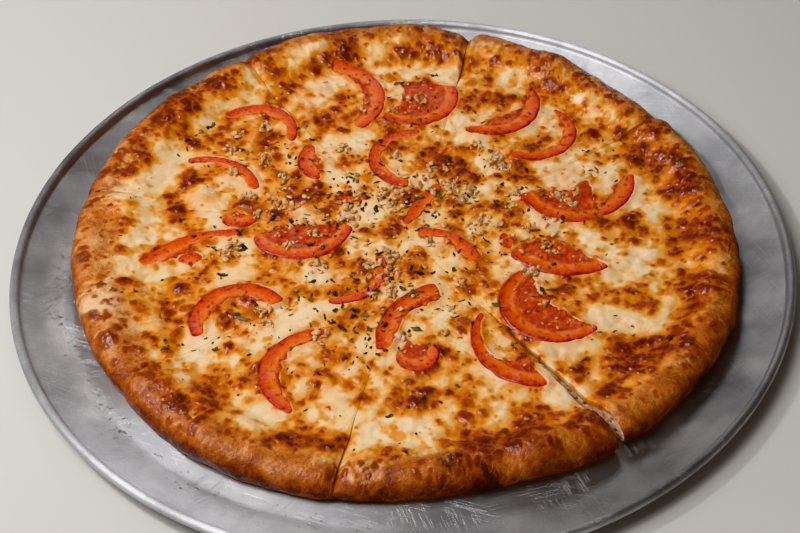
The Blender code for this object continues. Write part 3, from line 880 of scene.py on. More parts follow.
def build_dough(k, material):
    """One slice of dough, its cut faces pitted with holes, with what colours it at each point."""
    size = DOUGH_COLUMNS, DOUGH_ROWS, DOUGH_LAYERS
    column, row, layer, triangles = block_skin(*size, DOUGH_HIDDEN_ROWS, pinched=True)
    u, v, w = column / DOUGH_COLUMNS, row / DOUGH_ROWS, layer / DOUGH_LAYERS
    radius, height = dough_points(k, u, v, w)
    edge = outline(k, u)
    side = (column == 0) | (column == DOUGH_COLUMNS)
    side = side & (layer > 0) & (layer < DOUGH_LAYERS) & (row < DOUGH_ROWS)
    depth = np.minimum(np.minimum(w, 1 - w) * (2.0 + 10.0 * v**8), (1.0 - v) * edge) * 2.2
    crumb = np.where(side, smooth_step(0.3, 1.4, depth), 0.0)
    holes = look_up(crumb_holes, radius / CRUMB_STEP, height / CRUMB_STEP + 40.0 * k)
    holes = smooth_step(0.5, 1.6, holes)
    x, y = slice_point(k, u, radius)
    inward = np.radians(np.where(column == 0, FIRST[k] + 90.0, LAST[k] - 90.0))
    x = x + HOLE_DEPTH * holes * crumb * np.cos(inward)
    y = y + HOLE_DEPTH * holes * crumb * np.sin(inward)
    across = np.where(row == DOUGH_ROWS, (1.0 - w) * WALL_LENGTH, RIM_CREST - (edge - radius))
    foot = 1.0 - smooth_step(0.05, 0.16, w)
    bake = crust_bake(k, u, across) - 0.6 * foot * (row == DOUGH_ROWS)
    points = np.column_stack([x, y, height])
    # The holes are handed on too, so that the crumb can be painted darker in them as shade.
    return add_piece(
        "crust_" + NAMES[k], points, triangles, material, "dough", ["dough_" + NAMES[k]],
        bake=bake, bare=bareness(k, u, across), toast=on_field(field_toast, *crust_place(k, u, across)),
        crumb=crumb, hole=holes,
    )


dough_material = baked_dough()
dough_pieces = [build_dough(index, dough_material) for index in range(len(SLICES))]


# ---- Cheese ----------------------------------------------------------------------------------------
# Melted cheese covers the slices and thins out as it climbs the rim. The oven has blown it up into
# blisters and browned them, from gold to nearly black, with clean cream cheese left between them.
# It closes round the edge of each tomato piece, so their outlines are worked out here too.

CHEESE_THICKNESS = 2.8
CHEESE_FILM = 0.12
CHEESE_BITE = 0.3  # how far its edge has sunk into the crust
CHEESE_COLUMNS = 220
CHEESE_ROWS = 262
CHEESE_LAYERS = 4
FILM_TO_FULL = 16.0  # over which distance from its edge the cheese grows to its full thickness
BESIDE_TOMATO = 1.9  # how far it climbs the side of a tomato piece

# A tomato piece follows the arc of its skin through three points, anticlockwise round the arc's
# middle. Five widths, evenly spaced along the skin, run from it towards a focus that lies a little
# beyond that middle.
Tomato = namedtuple("Tomato", "skin beyond widths")
TOMATOES = (
    Tomato(((-21, 100), (-6.5, 130.5), (-36, 161.5)), 0, (8, 10, 11.5, 10.5, 7)),
    Tomato(((-8, 109.5), (12, 102.1), (34.3, 136)), 25, (5, 21, 35, 37, 14)),
    Tomato(((37.5, 96.5), (66.5, 94), (79.5, 130.5)), 0, (4, 13, 15, 10, 5)),
    Tomato(((61, 73), (92.5, 75), (90, 113)), 0, (5, 6, 7.5, 6, 3)),
    Tomato(((13, 98), (-16.5, 75), (5, 49)), 0, (5, 7, 8, 8, 7)),
    Tomato(((21, 52), (9, 38.5), (1, 20)), 0, (4, 7, 8, 7, 5)),
    Tomato(((-58.5, 91), (-64.5, 119), (-98.5, 115.5)), 0, (5, 6, 8.5, 7.5, 5)),
    Tomato(((-49, 88.5), (-55.8, 74), (-45, 57.5)), 10, (4, 8, 11, 9, 4)),
    Tomato(((-76, 52), (-87.5, 73.5), (-117, 78)), 0, (5, 6.5, 5.5, 4.5, 3)),
    Tomato(((-95.5, 27), (-86, 20.5), (-76.5, 25.5)), 20, (6, 11, 12, 8, 4)),
    Tomato(((-84.5, 19), (-116.7, 13.5), (-137.5, -5)), 0, (5, 6, 9, 12, 3)),
    Tomato(((-78.5, 11), (-53, -5.3), (-25.5, 18)), 30, (5, 22, 28, 21, 5)),
    Tomato(((-60.2, -35.2), (-92, -24), (-105.2, -59.7)), 0, (8, 11, 11, 10, 7)),
    Tomato(((-38, -56.5), (-70.5, -78), (-55.7, -112.5)), 0, (6, 9, 9.5, 9.5, 5)),
    Tomato(((17, -26), (-11, -50), (-13.5, -73)), 0, (11, 12, 11, 10, 7)),
    Tomato(((-38.5, -38.3), (-13.2, -30), (-10, -3)), 0, (4, 6, 7, 6, 4)),
    Tomato(((56, -6), (82, -23.5), (106.5, -18.5)), 30, (8, 23, 27, 18, 3)),
    Tomato(((62.3, -17.5), (56, -62), (96, -63.5)), 25, (5, 21, 29, 20, 5)),
    Tomato(((38.7, -48), (34.2, -76), (68.5, -99.8)), 0, (3.5, 5, 8, 16, 6)),
    Tomato(((65, 40), (78, 21.5), (103, 18.5)), 25, (4, 17, 25, 32, 27)),
    Tomato(((106.5, 20.5), (121, 31), (127.5, 54)), 0, (6, 9, 10, 9, 4)),
    Tomato(((42, -9), (28, 10), (9.5, 16.5)), 0, (10, 9, 5.5, 5, 9)),
    Tomato(((-16.5, 41), (-25, 46), (-35, 41.5)), 5, (2.5, 4.5, 5, 4.5, 2.5)),
    Tomato(((-4.5, -78.5), (3, -86.5), (16, -72)), 20, (5, 15, 19, 13, 4)),
    Tomato(((54, 10.5), (51.8, 2), (56, -3)), 5, (3, 6, 7, 6, 3)),
    Tomato(((-103.5, -1.5), (-110, 2.5), (-117, -3)), 4, (4, 10, 11, 8, 4)),
)
TOMATO_END = 2.8
JUICY_RADIUS = 34.0  # a skin that curves more tightly than this has juice inside its curve


def circle_through(first, second, third):
    """Centre and radius of the circle through three points, where two perpendicular bisectors meet."""
    (a, b), (c, d), (e, f) = first, second, third
    double = 2.0 * (a * (d - f) + c * (f - b) + e * (b - d))
    squares = a * a + b * b, c * c + d * d, e * e + f * f
    x = (squares[0] * (d - f) + squares[1] * (f - b) + squares[2] * (b - d)) / double
    y = (squares[0] * (e - c) + squares[1] * (a - e) + squares[2] * (c - a)) / double
    return x, y, math.hypot(a - x, b - y)


def tomato_plan(index, s, t):
    """Plan position, distance in from the skin, width and length of a tomato piece.

    s runs along the skin and t from the inner edge (0) out to the skin (1). The width is a smooth
    curve through the five widths, with a wandering inner edge, and both ends close in an ellipse.
    """
    piece = TOMATOES[index]
    x, y, radius = circle_through(*piece.skin)
    start = math.atan2(piece.skin[0][1] - y, piece.skin[0][0] - x)
    sweep = (math.atan2(piece.skin[2][1] - y, piece.skin[2][0] - x) - start) % math.tau
    angle = start + sweep * s
    focus_x = x - piece.beyond * math.cos(start + sweep / 2)
    focus_y = y - piece.beyond * math.sin(start + sweep / 2)
    skin_x, skin_y = x + radius * np.cos(angle), y + radius * np.sin(angle)
    reach = np.hypot(focus_x - skin_x, focus_y - skin_y)
    length = sweep * radius
    along = s * length / STRIP_STEP
    wander = 0.10 * look_up(crust_tone, along + 97.0 * index, 20.0 + 0.0 * s)
    fray = 0.03 * look_up(crust_ragged, along + 41.0 * index, 90.0 + 0.0 * s)
    width = smooth_curve(np.array(piece.widths)[:, None], s)[..., 0] * (1.0 + wander + fray)
    closing = np.clip(np.minimum(s, 1.0 - s) * length / TOMATO_END, 0.015, 1.0)
    closing = np.sqrt(1.0 - (1.0 - closing) ** 2)
    inside = width * (0.5 - (t - 0.5) * closing)
    x = skin_x + (focus_x - skin_x) / reach * inside
    y = skin_y + (focus_y - skin_y) / reach * inside
    return x, y, inside, width * closing, length * np.ones_like(s)


# Maps of where tomato covers the cheese, where the cheese climbs its side, and where its juice ran.
tomato_mask = np.zeros(field_x.shape)
field_warm = field_clouds(10.0)
dense = np.meshgrid(np.linspace(0.0, 1.0, 400), np.linspace(0.0, 1.0, 140), indexing="ij")
for index in range(len(TOMATOES)):
    tomato_mask[field_cell(*tomato_plan(index, *dense)[:2])] = 1.0
field_edge = 0.36 + 0.1 * np.clip(field_clouds(9.0), -1.0, 1.6)
field_covered = smooth_step(0.0, 0.4, soften(tomato_mask, 0.8) - field_edge)
field_beside = soften(tomato_mask, 1.6)
field_juice = soften(tomato_mask, 3.2)
for piece in TOMATOES:
    x, y, radius = circle_through(*piece.skin)
    if radius < JUICY_RADIUS:
        within = 1.0 - smooth_step(0.3, 1.0, np.hypot(field_x - x, field_y - y) / radius)
        ring_juice = 0.3 * within * np.clip(0.6 + 0.5 * field_warm, 0.0, 1.0)
        field_juice = np.maximum(field_juice, ring_juice)
field_relief = (
    field_blisters
    + 0.34 * field_clouds(17.0)
    + 0.13 * field_clouds(7.0)
    + 0.10 * field_clouds(4.2) * (0.2 + 0.8 * field_gold)
    + 0.07 * field_clouds(2.4) * (0.12 + field_heat)
)
field_relief = (field_relief + BESIDE_TOMATO * field_beside) * (1.0 - field_covered)


def cheese_points(k, u, v, w):
    """Points of a slice's cheese, on the dough at w 0 and that much thicker at w 1.

    u runs from first to last cut and v from tip to edge. Towards the edge the cheese thins to a film
    that sinks into the crust, and shares its blisters.
    """
    stop = cheese_stop(k, u)
    radius = v * (outline(k, u) - stop)
    from_stop = (1.0 - v) * (outline(k, u) - stop)
    x, y = slice_point(k, u, radius)
    rise = smooth_step(0.0, FILM_TO_FULL, from_stop)
    full = melt(from_stop)
    under = dough_height(k, u, radius) + GAP * full - CHEESE_BITE * (1.0 - full)
    thick = CHEESE_FILM + (CHEESE_THICKNESS - CHEESE_FILM) * rise
    crust_relief = on_field(field_blisters, x, y) * BLISTERS_ON_CRUST
    relief = (on_field(field_relief, x, y) * rise + crust_relief * (1.0 - rise)) * full
    return x, y, under + w * np.maximum(thick + relief, 0.25 * thick), from_stop


def melted_cheese():
    """Cream cheese that browns from amber to dark brown, glossy with oil, and red beside tomato."""
    made, tree, shader = new_material(
        "Melted cheese", IOR=1.42, Subsurface_Weight=0.15, Subsurface_Scale=0.002,
        Subsurface_Radius=(1.0, 0.6, 0.3),
    )
    surface = add_baked(tree)
    juicy = calculate(tree, "MULTIPLY", attribute(tree, "juice"), 0.85)
    tint = blend(tree, juicy, surface["Colour"], colour(238, 150, 76), "MULTIPLY")
    finish_surface(tree, shader, tint, surface["Roughness"], surface["Height"], 0.6, 0.0004)
    return made


def build_cheese(k, material):
    """The cheese of one slice, with how much it is browned, stained or like the crust."""
    column, row, layer, triangles = block_skin(CHEESE_COLUMNS, CHEESE_ROWS, CHEESE_LAYERS, pinched=True)
    u, v, w = column / CHEESE_COLUMNS, row / CHEESE_ROWS, layer / CHEESE_LAYERS
    x, y, height, from_stop = cheese_points(k, u, v, w)
    toast = np.where(layer > 0, on_field(field_toast, x, y), 0.2)
    across = RIM_CREST - cheese_stop(k, u) - from_stop
    return add_piece(
        "melt_" + NAMES[k], np.column_stack([x, y, height]), triangles, material, "cheese",
        ["cheese_" + NAMES[k]], toast=toast, bare=bareness(k, u, across), bake=crust_bake(k, u, across),
        juice=on_field(field_juice, x, y),
    )


cheese_material = melted_cheese()
cheese_pieces = [build_cheese(index, cheese_material) for index in range(len(SLICES))]


# ---- Tomato ----------------------------------------------------------------------------------------
# Pieces of tomato slice lie sunk in the cheese, some across the cuts. The skin is a dark red line at
# the outer edge, the flesh is smooth and orange red, and wide pieces still hold pulp further in.

TOMATO_COLUMNS = 84
TOMATO_ROWS = 34
TOMATO_LAYERS = 6
TOMATO_SINK = 1.1
SKIN_RISE = 1.05
FLESH_RISE = 0.6
TOMATO_LEAST_RISE = 0.25
TOMATO_BULGE = 0.45
PULP_START = 8.5

# Colours of the flesh from the skin inwards, and of the pulp.
FLESH_TONES = (
    (0.0, (140, 24, 8)), (0.05, (176, 40, 12)), (0.13, (196, 54, 16)), (0.36, (214, 78, 20)),
    (0.75, (226, 116, 44)), (1.0, (206, 78, 22)),
)
PULP_TONES = ((0.25, (150, 32, 10)), (0.5, (186, 58, 22)), (0.62, (208, 92, 40)), (0.8, (220, 138, 72)))


def rounded(distance, radius):
    """How far a corner of that radius falls away at a distance from its edge: a quarter circle."""
    return radius * (1.0 - np.sqrt(1.0 - (1.0 - np.clip(distance / radius, 0.0, 1.0)) ** 2))


def tomato_points(index, s, t, w):
    """Points of a tomato piece and its distance in from the skin.

    The top falls from the skin to the flesh, is lumpy where there is pulp, and is rounded at every
    edge. The outer wall bulges, and the foot is sunk in the cheese.
    """
    x, y, inside, width, length = tomato_plan(index, s, t)
    base = on_field(field_ground, x, y) + GAP + CHEESE_THICKNESS
    sway = look_up(crust_tone, s * length / STRIP_STEP * 0.5 + 61.0 * index, 70.0 + 0.0 * s)
    top = FLESH_RISE + (SKIN_RISE - FLESH_RISE) * (1.0 - smooth_step(0.6, 6.5, inside)) + 0.4 * sway
    pulp = smooth_step(PULP_START - 1.0, PULP_START + 1.2, inside)
    lumps = 0.30 * on_field(field_tomato_lumps, x, y) + 0.07 * on_field(field_tomato_fine, x, y)
    top = top + pulp * (lumps - 0.35) + 0.03 * on_field(field_tomato_fine, x, y)
    from_end = np.minimum(s, 1.0 - s) * length
    top = top - rounded(inside, 0.9) - rounded(width - inside, 0.8) - rounded(from_end, 1.4)
    top = np.maximum(top, TOMATO_LEAST_RISE)
    away = TOMATO_BULGE * np.sin(math.pi * w) * smooth_step(0.75, 1.0, t)
    centre_x, centre_y, radius = circle_through(*TOMATOES[index].skin)
    x = x + away * (x - centre_x) / radius
    y = y + away * (y - centre_y) / radius
    return x, y, base - TOMATO_SINK + w * (top + TOMATO_SINK), inside, pulp


def baked_tomato():
    """Orange red flesh with fine fibres, a dark skin line, wet pulp and a few scorched spots."""
    made, tree, shader = new_material(
        "Baked tomato", IOR=1.45, Subsurface_Weight=0.15, Subsurface_Scale=0.003,
        Subsurface_Radius=(1.0, 0.25, 0.1),
    )
    place, inside = object_place(tree), attribute(tree, "inside")
    along = calculate(tree, "MULTIPLY", attribute(tree, "along"), 0.8)
    fibres = noise(tree, combine(tree, along, calculate(tree, "MULTIPLY", inside, 2.2)), 1.0)
    mottle = noise(tree, place, 240.0)
    wet = noise(tree, place, 520.0, detail=2.0)
    tone = weigh(tree, (fibres, 0.6), (mottle, 0.6), (inside, 1.0), start=-0.6)
    tone = weigh(tree, (attribute(tree, "tint"), 1.0), start=tone, clamp=True)
    tint = blend(tree, attribute(tree, "pulp"), ramp(tree, tone, FLESH_TONES), ramp(tree, mottle, PULP_TONES))
    tint = blend(tree, spread(tree, mottle, 0.62, 0.76, 0.0, 0.3), tint, colour(232, 134, 70))
    tint = blend(tree, attribute(tree, "scorch"), tint, colour(104, 30, 8))
    height = weigh(tree, (fibres, 0.6), (mottle, 1.0), (wet, 1.0))
    finish_surface(tree, shader, tint, spread(tree, mottle, 0.3, 0.7, 0.2, 0.42), height, 0.32, 0.0004)
    return made


def build_tomato(index, material):
    """One piece of tomato. Its columns are closer together at its ends, where it is rounded."""
    column, row, layer, triangles = block_skin(TOMATO_COLUMNS, TOMATO_ROWS, TOMATO_LAYERS)
    u, t = column / TOMATO_COLUMNS, row / TOMATO_ROWS
    s = u - 0.7 * np.sin(math.tau * u) / math.tau
    x, y, height, inside, pulp = tomato_points(index, s, t, layer / TOMATO_LAYERS)
    spots = 0.5 * on_field(field_tomato_fine, x + 31.0, y) + 0.6 * on_field(field_tomato_lumps, x, y + 17.0)
    inner_edge = 1.0 - smooth_step(0.0, 3.5, 12.0 * t)
    return add_piece(
        "tomato_slice_%02d" % (index + 1), np.column_stack([x, y, height]), triangles, material, "tomato",
        ["tomato_%02d" % (index + 1)], inside=np.clip(inside / 10.0, 0.0, 1.2), pulp=pulp,
        scorch=0.85 * smooth_step(0.7, 1.8, spots + 0.7 * inner_edge),
        tint=np.full(len(x), 0.05 - 0.022 * (index * 7 % 5)), along=s * tomato_plan(index, s, t)[4],
    )


field_crest = outline(field_slice, field_share) - RIM_CREST
field_ground = dough_height(field_slice, field_share, np.maximum(0.0, np.minimum(field_radius, field_crest)))
field_ground = soften(field_ground, 2.5)
field_tomato_lumps = field_clouds(5.0)
field_tomato_fine = field_clouds(2.8)
tomato_material = baked_tomato()
tomato_pieces = [build_tomato(index, tomato_material) for index in range(len(TOMATOES))]


# ---- Seeds -----------------------------------------------------------------------------------------
# A few pale flat seeds still lie in the wide tomato pieces, which were cut through the chambers that
# hold the pulp. Each seed is turned any way and half sunk in that pulp.

# Which tomato pieces hold seeds, by place in TOMATOES from 0, and how many each.
SEED_PIECES = {1: 9, 9: 3, 11: 9, 16: 9, 17: 10, 19: 8, 23: 3, 18: 3}
SEED_SIZE = (1.25, 0.85, 0.45)
small_random = np.random.default_rng(77)


def ball(around, up):
    """Points and triangles of a unit ball: a grid of turns and heights with pinched poles."""
    turn, rise = np.meshgrid(np.arange(around) / around, np.arange(up + 1) / up, indexing="ij")
    turn, rise = turn * math.tau, rise * math.pi
    points = np.stack([np.sin(rise) * np.cos(turn), np.sin(rise) * np.sin(turn), -np.cos(rise)], -1)
    corners = np.arange(around * (up + 1)).reshape(around, up + 1)
    corners[:, 0], corners[:, -1] = corners[0, 0], corners[0, -1]
    used, triangles = np.unique(cut_cells(np.vstack([corners, corners[:1]])), return_inverse=True)
    return points.reshape(-1, 3)[used], triangles.reshape(-1, 3)


def turned_frames(turn, lean, way):
    """Rotation matrices: first a turn about +Z, then a lean about the level axis at angle way."""
    zero, one = np.zeros_like(turn), np.ones_like(turn)
    c, s = np.cos(turn), np.sin(turn)
    spin = np.stack([c, -s, zero, s, c, zero, zero, zero, one], -1).reshape(-1, 3, 3)
    a, b, cosine, sine = np.cos(way), np.sin(way), np.cos(lean), np.sin(lean)
    rest = 1.0 - cosine
    tip = np.stack([
        cosine + a * a * rest, a * b * rest, b * sine,
        a * b * rest, cosine + b * b * rest, -a * sine,
        -b * sine, a * sine, cosine,
    ], -1).reshape(-1, 3, 3)
    return tip @ spin


def tumbled_frames(count, most_lean):
    """Rotation matrices of things that are turned any way, and lean any way by up to most_lean."""
    spin, lean = small_random.uniform(0, math.tau, count), small_random.uniform(0, most_lean, count)
    return turned_frames(spin, lean, small_random.uniform(0, math.tau, count))


def add_copies(name, shapes, frames, places, triangles, material, slot, **values):
    """One piece of many small things: each one's own shape turned by its frame and put in its place."""
    points = np.einsum("nij,npj->npi", frames, shapes) + places[:, None, :]
    count, size = points.shape[:2]
    corners = triangles[None] + size * np.arange(count)[:, None, None]
    return add_piece(name, points.reshape(-1, 3), corners.reshape(-1, 3), material, slot, **values)


def landing_map(pieces):
    """Height of the highest point of the pieces over each cell, spread to the cells beside it."""
    heights = np.zeros(field_x.shape)
    for piece in pieces:
        points = np.empty(3 * len(piece.data.vertices), np.float32)
        piece.data.vertices.foreach_get("co", points)
        x, y, z = points.reshape(-1, 3).T / METRES
        np.maximum.at(heights, field_cell(x, y), z)
    for axis in (0, 1):
        heights = np.maximum.reduce([np.roll(heights, shift, axis) for shift in (-1, 0, 1)])
    return heights


landing = landing_map(dough_pieces + cheese_pieces + tomato_pieces)


def scatter_on(x, y, lift):
    """Places at plan positions, that far above the surface there."""
    return np.column_stack([x, y, on_field(landing, x, y) + lift])


def build_seeds():
    """A seed is a flat ball with one end drawn to a point, placed in the pulp by chance."""
    s, t = [], []
    for count in SEED_PIECES.values():
        s.append(small_random.uniform(0.2, 0.8, count))
        t.append(small_random.uniform(0.1, 0.6, count))
    plans = [tomato_plan(index, *share)[:2] for index, *share in zip(SEED_PIECES, s, t)]
    x, y = np.concatenate(plans, axis=1)
    points, triangles = ball(8, 5)
    taper = 1.0 - 0.35 * points[:, :1] * np.array([0.0, 1.0, 0.4])
    shapes = points * taper * SEED_SIZE * small_random.uniform(0.8, 1.15, (len(x), 1, 1))
    frames = tumbled_frames(len(x), 0.5)
    made, tree, shader = new_material("Tomato seed", IOR=1.45, Roughness=0.28)
    tone = noise(tree, object_place(tree), 400.0, detail=2.0)
    tint = ramp(tree, tone, ((0.3, (206, 112, 56)), (0.7, (224, 160, 98))))
    tree.links.new(tint, shader.inputs["Base Color"])
    add_copies("tomato_seeds", shapes, frames, scatter_on(x, y, 0.05), triangles, made, "tomato")


build_seeds()


# ---- Garlic ----------------------------------------------------------------------------------------
# Minced garlic lies in loose heaps and single chips: small, soft-edged and pale tan, toasted by the
# oven here and there. Each layer of a heap rests on the one below it.

# Heaps: x, y, spread and number of chips.
GARLIC_HEAPS = (
    (52, 71, 6, 26), (57, 64, 5, 18), (44, 82, 5, 14), (28, 48, 7, 28), (38, 45, 6, 16), (34, 40, 5, 10),
    (62, 41, 7, 12), (60, 33, 5, 7), (85, 38, 5, 15), (92, 31, 4, 13), (97, 41, 4, 8), (52, 15, 5, 11),
    (-49, 21, 5, 9), (-47, 14, 4, 8), (-58, 7, 5, 9), (-5, -6, 7, 22), (-18, -12, 6, 13),
    (-6, -33, 5, 12), (-15, -34, 5, 8), (-1, -45, 3, 3), (31, -26, 6, 11), (26, -45, 5, 7),
    (19, -62, 5, 6), (66, -21, 6, 20), (76, -1, 4, 6), (80, -6, 4, 5), (-88, 6, 6, 24), (-93, -2, 5, 9),
    (-71, -43, 5, 16), (-68, -52, 5, 9), (-82, 45, 5, 11), (-78, 31, 4, 6), (-91, 67, 4, 8),
    (-93, 86, 6, 15), (-74, 77, 6, 15), (-91, 98, 5, 10), (-31, 83, 6, 10), (0, 76, 5, 10),
    (-63, 61, 6, 10), (-1, 116, 4, 6), (-19, 120, 5, 7), (-74, 105, 5, 9), (-23, 42, 5, 8),
    (13, 124, 6, 14), (105, 57, 5, 5), (73, -43, 4, 4), (17, 5, 4, 4), (-2, -62, 6, 6),
    (-45, -10, 10, 14), (40, 20, 12, 16), (-40, -62, 10, 10), (0, 30, 55, 70), (-5, 40, 14, 34),
    (-60, 40, 18, 30), (70, 10, 20, 24), (-30, 28, 14, 24), (20, 60, 16, 20), (-8, -20, 12, 16),
)
CHIP_LAYERS = 3
CHIP_CUTS = 8
CHIP_LARGEST = 2.8
GARLIC_TONES = (
    (0.3, (238, 202, 162)), (0.47, (222, 172, 126)), (0.58, (198, 136, 86)), (0.72, (148, 80, 36)),
)


def minced_garlic():
    """Moist, half see-through tan, paler inside and toasted brown in places."""
    made, tree, shader = new_material(
        "Minced garlic", IOR=1.45, Subsurface_Weight=0.5, Subsurface_Scale=0.0025,
        Subsurface_Radius=(1.0, 0.7, 0.4),
    )
    place = object_place(tree)
    tone = noise(tree, place, 190.0, detail=5.0, roughness=0.62)
    rough = spread(tree, tone, 0.3, 0.7, 0.18, 0.32)
    grain = noise(tree, place, 900.0)
    finish_surface(tree, shader, ramp(tree, tone, GARLIC_TONES), rough, grain, 0.35, 0.0003)
    return made


def heap_places(heaps, share):
    """Plan positions in heaps of (x, y, spread, count), and the spread of each one's heap.

    They lie round the heap's middle by chance, with that share of its spread as standard deviation.
    """
    heaps = np.array(heaps, float)
    centre = np.repeat(heaps[:, :3], heaps[:, 3].astype(int), axis=0)
    away = small_random.normal(0.0, share, (len(centre), 2)) * centre[:, 2:]
    return (*(centre[:, :2] + away).T, centre[:, 2])


def build_garlic():
    """Chips are lumpy balls pushed flat from a few random sides, which leaves soft facets."""
    x, y, _ = heap_places(GARLIC_HEAPS, 0.38)
    count = len(x)
    size = np.minimum(small_random.lognormal(0.5, 0.34, count), CHIP_LARGEST)
    points, triangles = ball(8, 6)
    shapes = points * small_random.uniform(0.84, 1.14, (count, len(points), 1))
    for _ in range(CHIP_CUTS):
        way = small_random.normal(0.0, 1.0, (count, 1, 3))
        way = way / np.linalg.norm(way, axis=2, keepdims=True)
        limit = small_random.uniform(0.3, 0.65, (count, 1))
        over = np.clip((shapes * way).sum(2) - limit, 0.0, None)
        shapes = shapes - 0.95 * over[..., None] * way
    flatness = small_random.uniform((0.85, 0.75, 0.55), (1.3, 1.1, 0.85), (count, 3))
    shapes = shapes * flatness[:, None, :] * size[:, None, None]
    frames = tumbled_frames(count, 0.6)
    places = np.zeros((count, 3))
    layer = small_random.permutation(count) % CHIP_LAYERS
    for number in range(CHIP_LAYERS):
        now = layer == number
        places[now] = scatter_on(x[now], y[now], 0.12 * size[now])
        for ahead in np.linspace(0.0, math.tau, 7)[:-1]:
            edge = 0.6 * size[now]
            cell = field_cell(x[now] + edge * math.cos(ahead), y[now] + edge * math.sin(ahead))
            np.maximum.at(landing, cell, places[now, 2] + 0.4 * size[now])
    add_copies("garlic_chips", shapes, frames, places, triangles, minced_garlic(), "garlic")


build_garlic()


# ---- Herbs -----------------------------------------------------------------------------------------
# Dried herb flakes are sprinkled over everything, thickest near the middle: thin curled bits of
# leaf, nearly black where they are wet with oil and grey green where they are dry.

# Where they fall: x, y, spread and number of flakes.
HERB_HEAPS = (
    (0, 10, 60, 230), (-25, 48, 15, 30), (-28, -50, 13, 26), (-24, -78, 9, 12), (30, 46, 16, 24),
    (-50, 15, 18, 26), (-95, 5, 16, 18), (-80, -50, 14, 16), (75, 25, 20, 22), (70, -30, 14, 18),
    (15, 115, 16, 18), (-10, -20, 20, 30), (55, 70, 14, 16), (-70, 80, 22, 26), (-130, -60, 22, 10),
    (110, -80, 25, 10), (120, 60, 20, 10), (-115, 95, 18, 10), (20, 150, 20, 7), (0, -125, 30, 9),
    (-10, 10, 110, 260),
)
DUST_SPREAD = 100.0  # in wider heaps than that the flakes are only crumbs
HERB_REACH = 150.0
FLAKE_LARGEST = (3.4, 1.4)  # half its length and half its width
FLAKE_COLUMNS = 5
FLAKE_THICKNESS = 0.09
HERB_TONES = ((0.0, (26, 18, 10)), (0.35, (56, 46, 28)), (0.7, (104, 94, 62)), (1.0, (150, 140, 102)))


def herb_flakes():
    """Dull dark olive, with a change of tone from flake to flake."""
    made, tree, shader = new_material("Dried herb", IOR=1.4)
    dry = attribute(tree, "dry")
    vein = noise(tree, object_place(tree), 1500.0)
    tone = weigh(tree, (vein, 0.5), (dry, 1.0), start=-0.25, clamp=True)
    rough = spread(tree, dry, 0.0, 1.0, 0.35, 0.75)
    finish_surface(tree, shader, ramp(tree, tone, HERB_TONES), rough, vein, 0.5, 0.0002)
    return made


def build_herbs():
    """A flake is a thin plate with ragged sides, bent along and across, and lies as the food does."""
    x, y, spread_out = heap_places(HERB_HEAPS, 0.7)
    count = len(x)
    inward = np.minimum(1.0, HERB_REACH / np.hypot(x, y))
    x, y = x * inward, y * inward
    length = np.minimum(small_random.lognormal(0.3, 0.45, count), FLAKE_LARGEST[0])
    length = np.where(spread_out > DUST_SPREAD, 0.5 * length, length)
    width = np.minimum(length * small_random.uniform(0.25, 0.75, count), FLAKE_LARGEST[1])
    length, width = length[:, None], width[:, None]
    column, row, layer, triangles = block_skin(FLAKE_COLUMNS, 2, 1)
    along, across = 2.0 * column / FLAKE_COLUMNS - 1.0, row - 1.0
    taper = np.sqrt(np.clip(1.08 - along**2, 0.0, 1.0))
    ragged = small_random.uniform(0.6, 1.2, (count, FLAKE_COLUMNS + 1, 3))[:, column, row]
    curl = small_random.uniform(-0.7, 0.7, (count, 1)) * along**2
    curl = curl + small_random.uniform(-0.9, 0.3, (count, 1)) * across**2
    curl = curl + small_random.uniform(-0.4, 0.4, (count, 1)) * along * across
    shapes = np.stack([
        along * length * ragged,
        across * taper * width * ragged,
        curl * width + FLAKE_THICKNESS * layer,
    ], -1)
    slope_x = on_field(landing, x + 0.8, y) - on_field(landing, x - 0.8, y)
    slope_y = on_field(landing, x, y + 0.8) - on_field(landing, x, y - 0.8)
    steep = np.arctan(np.clip(np.hypot(slope_x, slope_y) / 1.6, 0.0, 1.2))
    turn, lean = small_random.uniform(0, math.tau, count), small_random.normal(0.0, 0.12, count) - steep
    frames = turned_frames(turn, lean, np.arctan2(slope_y, slope_x) + math.pi / 2)
    dry = np.repeat(small_random.beta(1.2, 1.9, count), len(along))
    places = scatter_on(x, y, 0.22)
    add_copies("herb_flakes", shapes, frames, places, triangles, herb_flakes(), "herbs", dry=dry)


build_herbs()


# ---- Oil -------------------------------------------------------------------------------------------
# Cooking oil has run off the crust at the left and front left. It lies on the pan in small clear
# drops, flattened where they wet the metal.

OIL_DROPS = 150
OIL_TURNS = (168.0, 268.0)
OIL_RADII = (171.0, 184.0)


def build_oil():
    """A drop is a flattened ball of uneven outline, its lower half below the pan's face."""
    angle = np.radians(small_random.uniform(*OIL_TURNS, OIL_DROPS))
    reach = small_random.uniform(*OIL_RADII, OIL_DROPS)
    size = small_random.lognormal(-0.6, 0.4, OIL_DROPS)
    points, triangles = ball(12, 8)
    shapes = points * np.array([1.0, 1.0, 0.6]) * size[:, None, None]
    shapes = shapes * small_random.uniform(0.8, 1.25, (OIL_DROPS, 1, 3)) ** (1.0, 1.0, 0.0)
    level = np.zeros(OIL_DROPS)
    frames = turned_frames(small_random.uniform(0, math.tau, OIL_DROPS), level, level)
    places = np.column_stack([reach * np.cos(angle), reach * np.sin(angle), pan_top(reach)])
    made, _, shader = new_material("Cooking oil", IOR=1.47, Roughness=0.04, Transmission_Weight=1.0)
    shader.inputs["Base Color"].default_value = colour(252, 250, 244)
    add_copies("oil_drops", shapes, frames, places, triangles, made, "oil")


build_oil()


# ---- Floor, light and camera -----------------------------------------------------------------------
# A plain pale floor, soft lights round the pan, the strongest high up at the left, and the camera of
# the photograph, which looks down at the pan from the front.

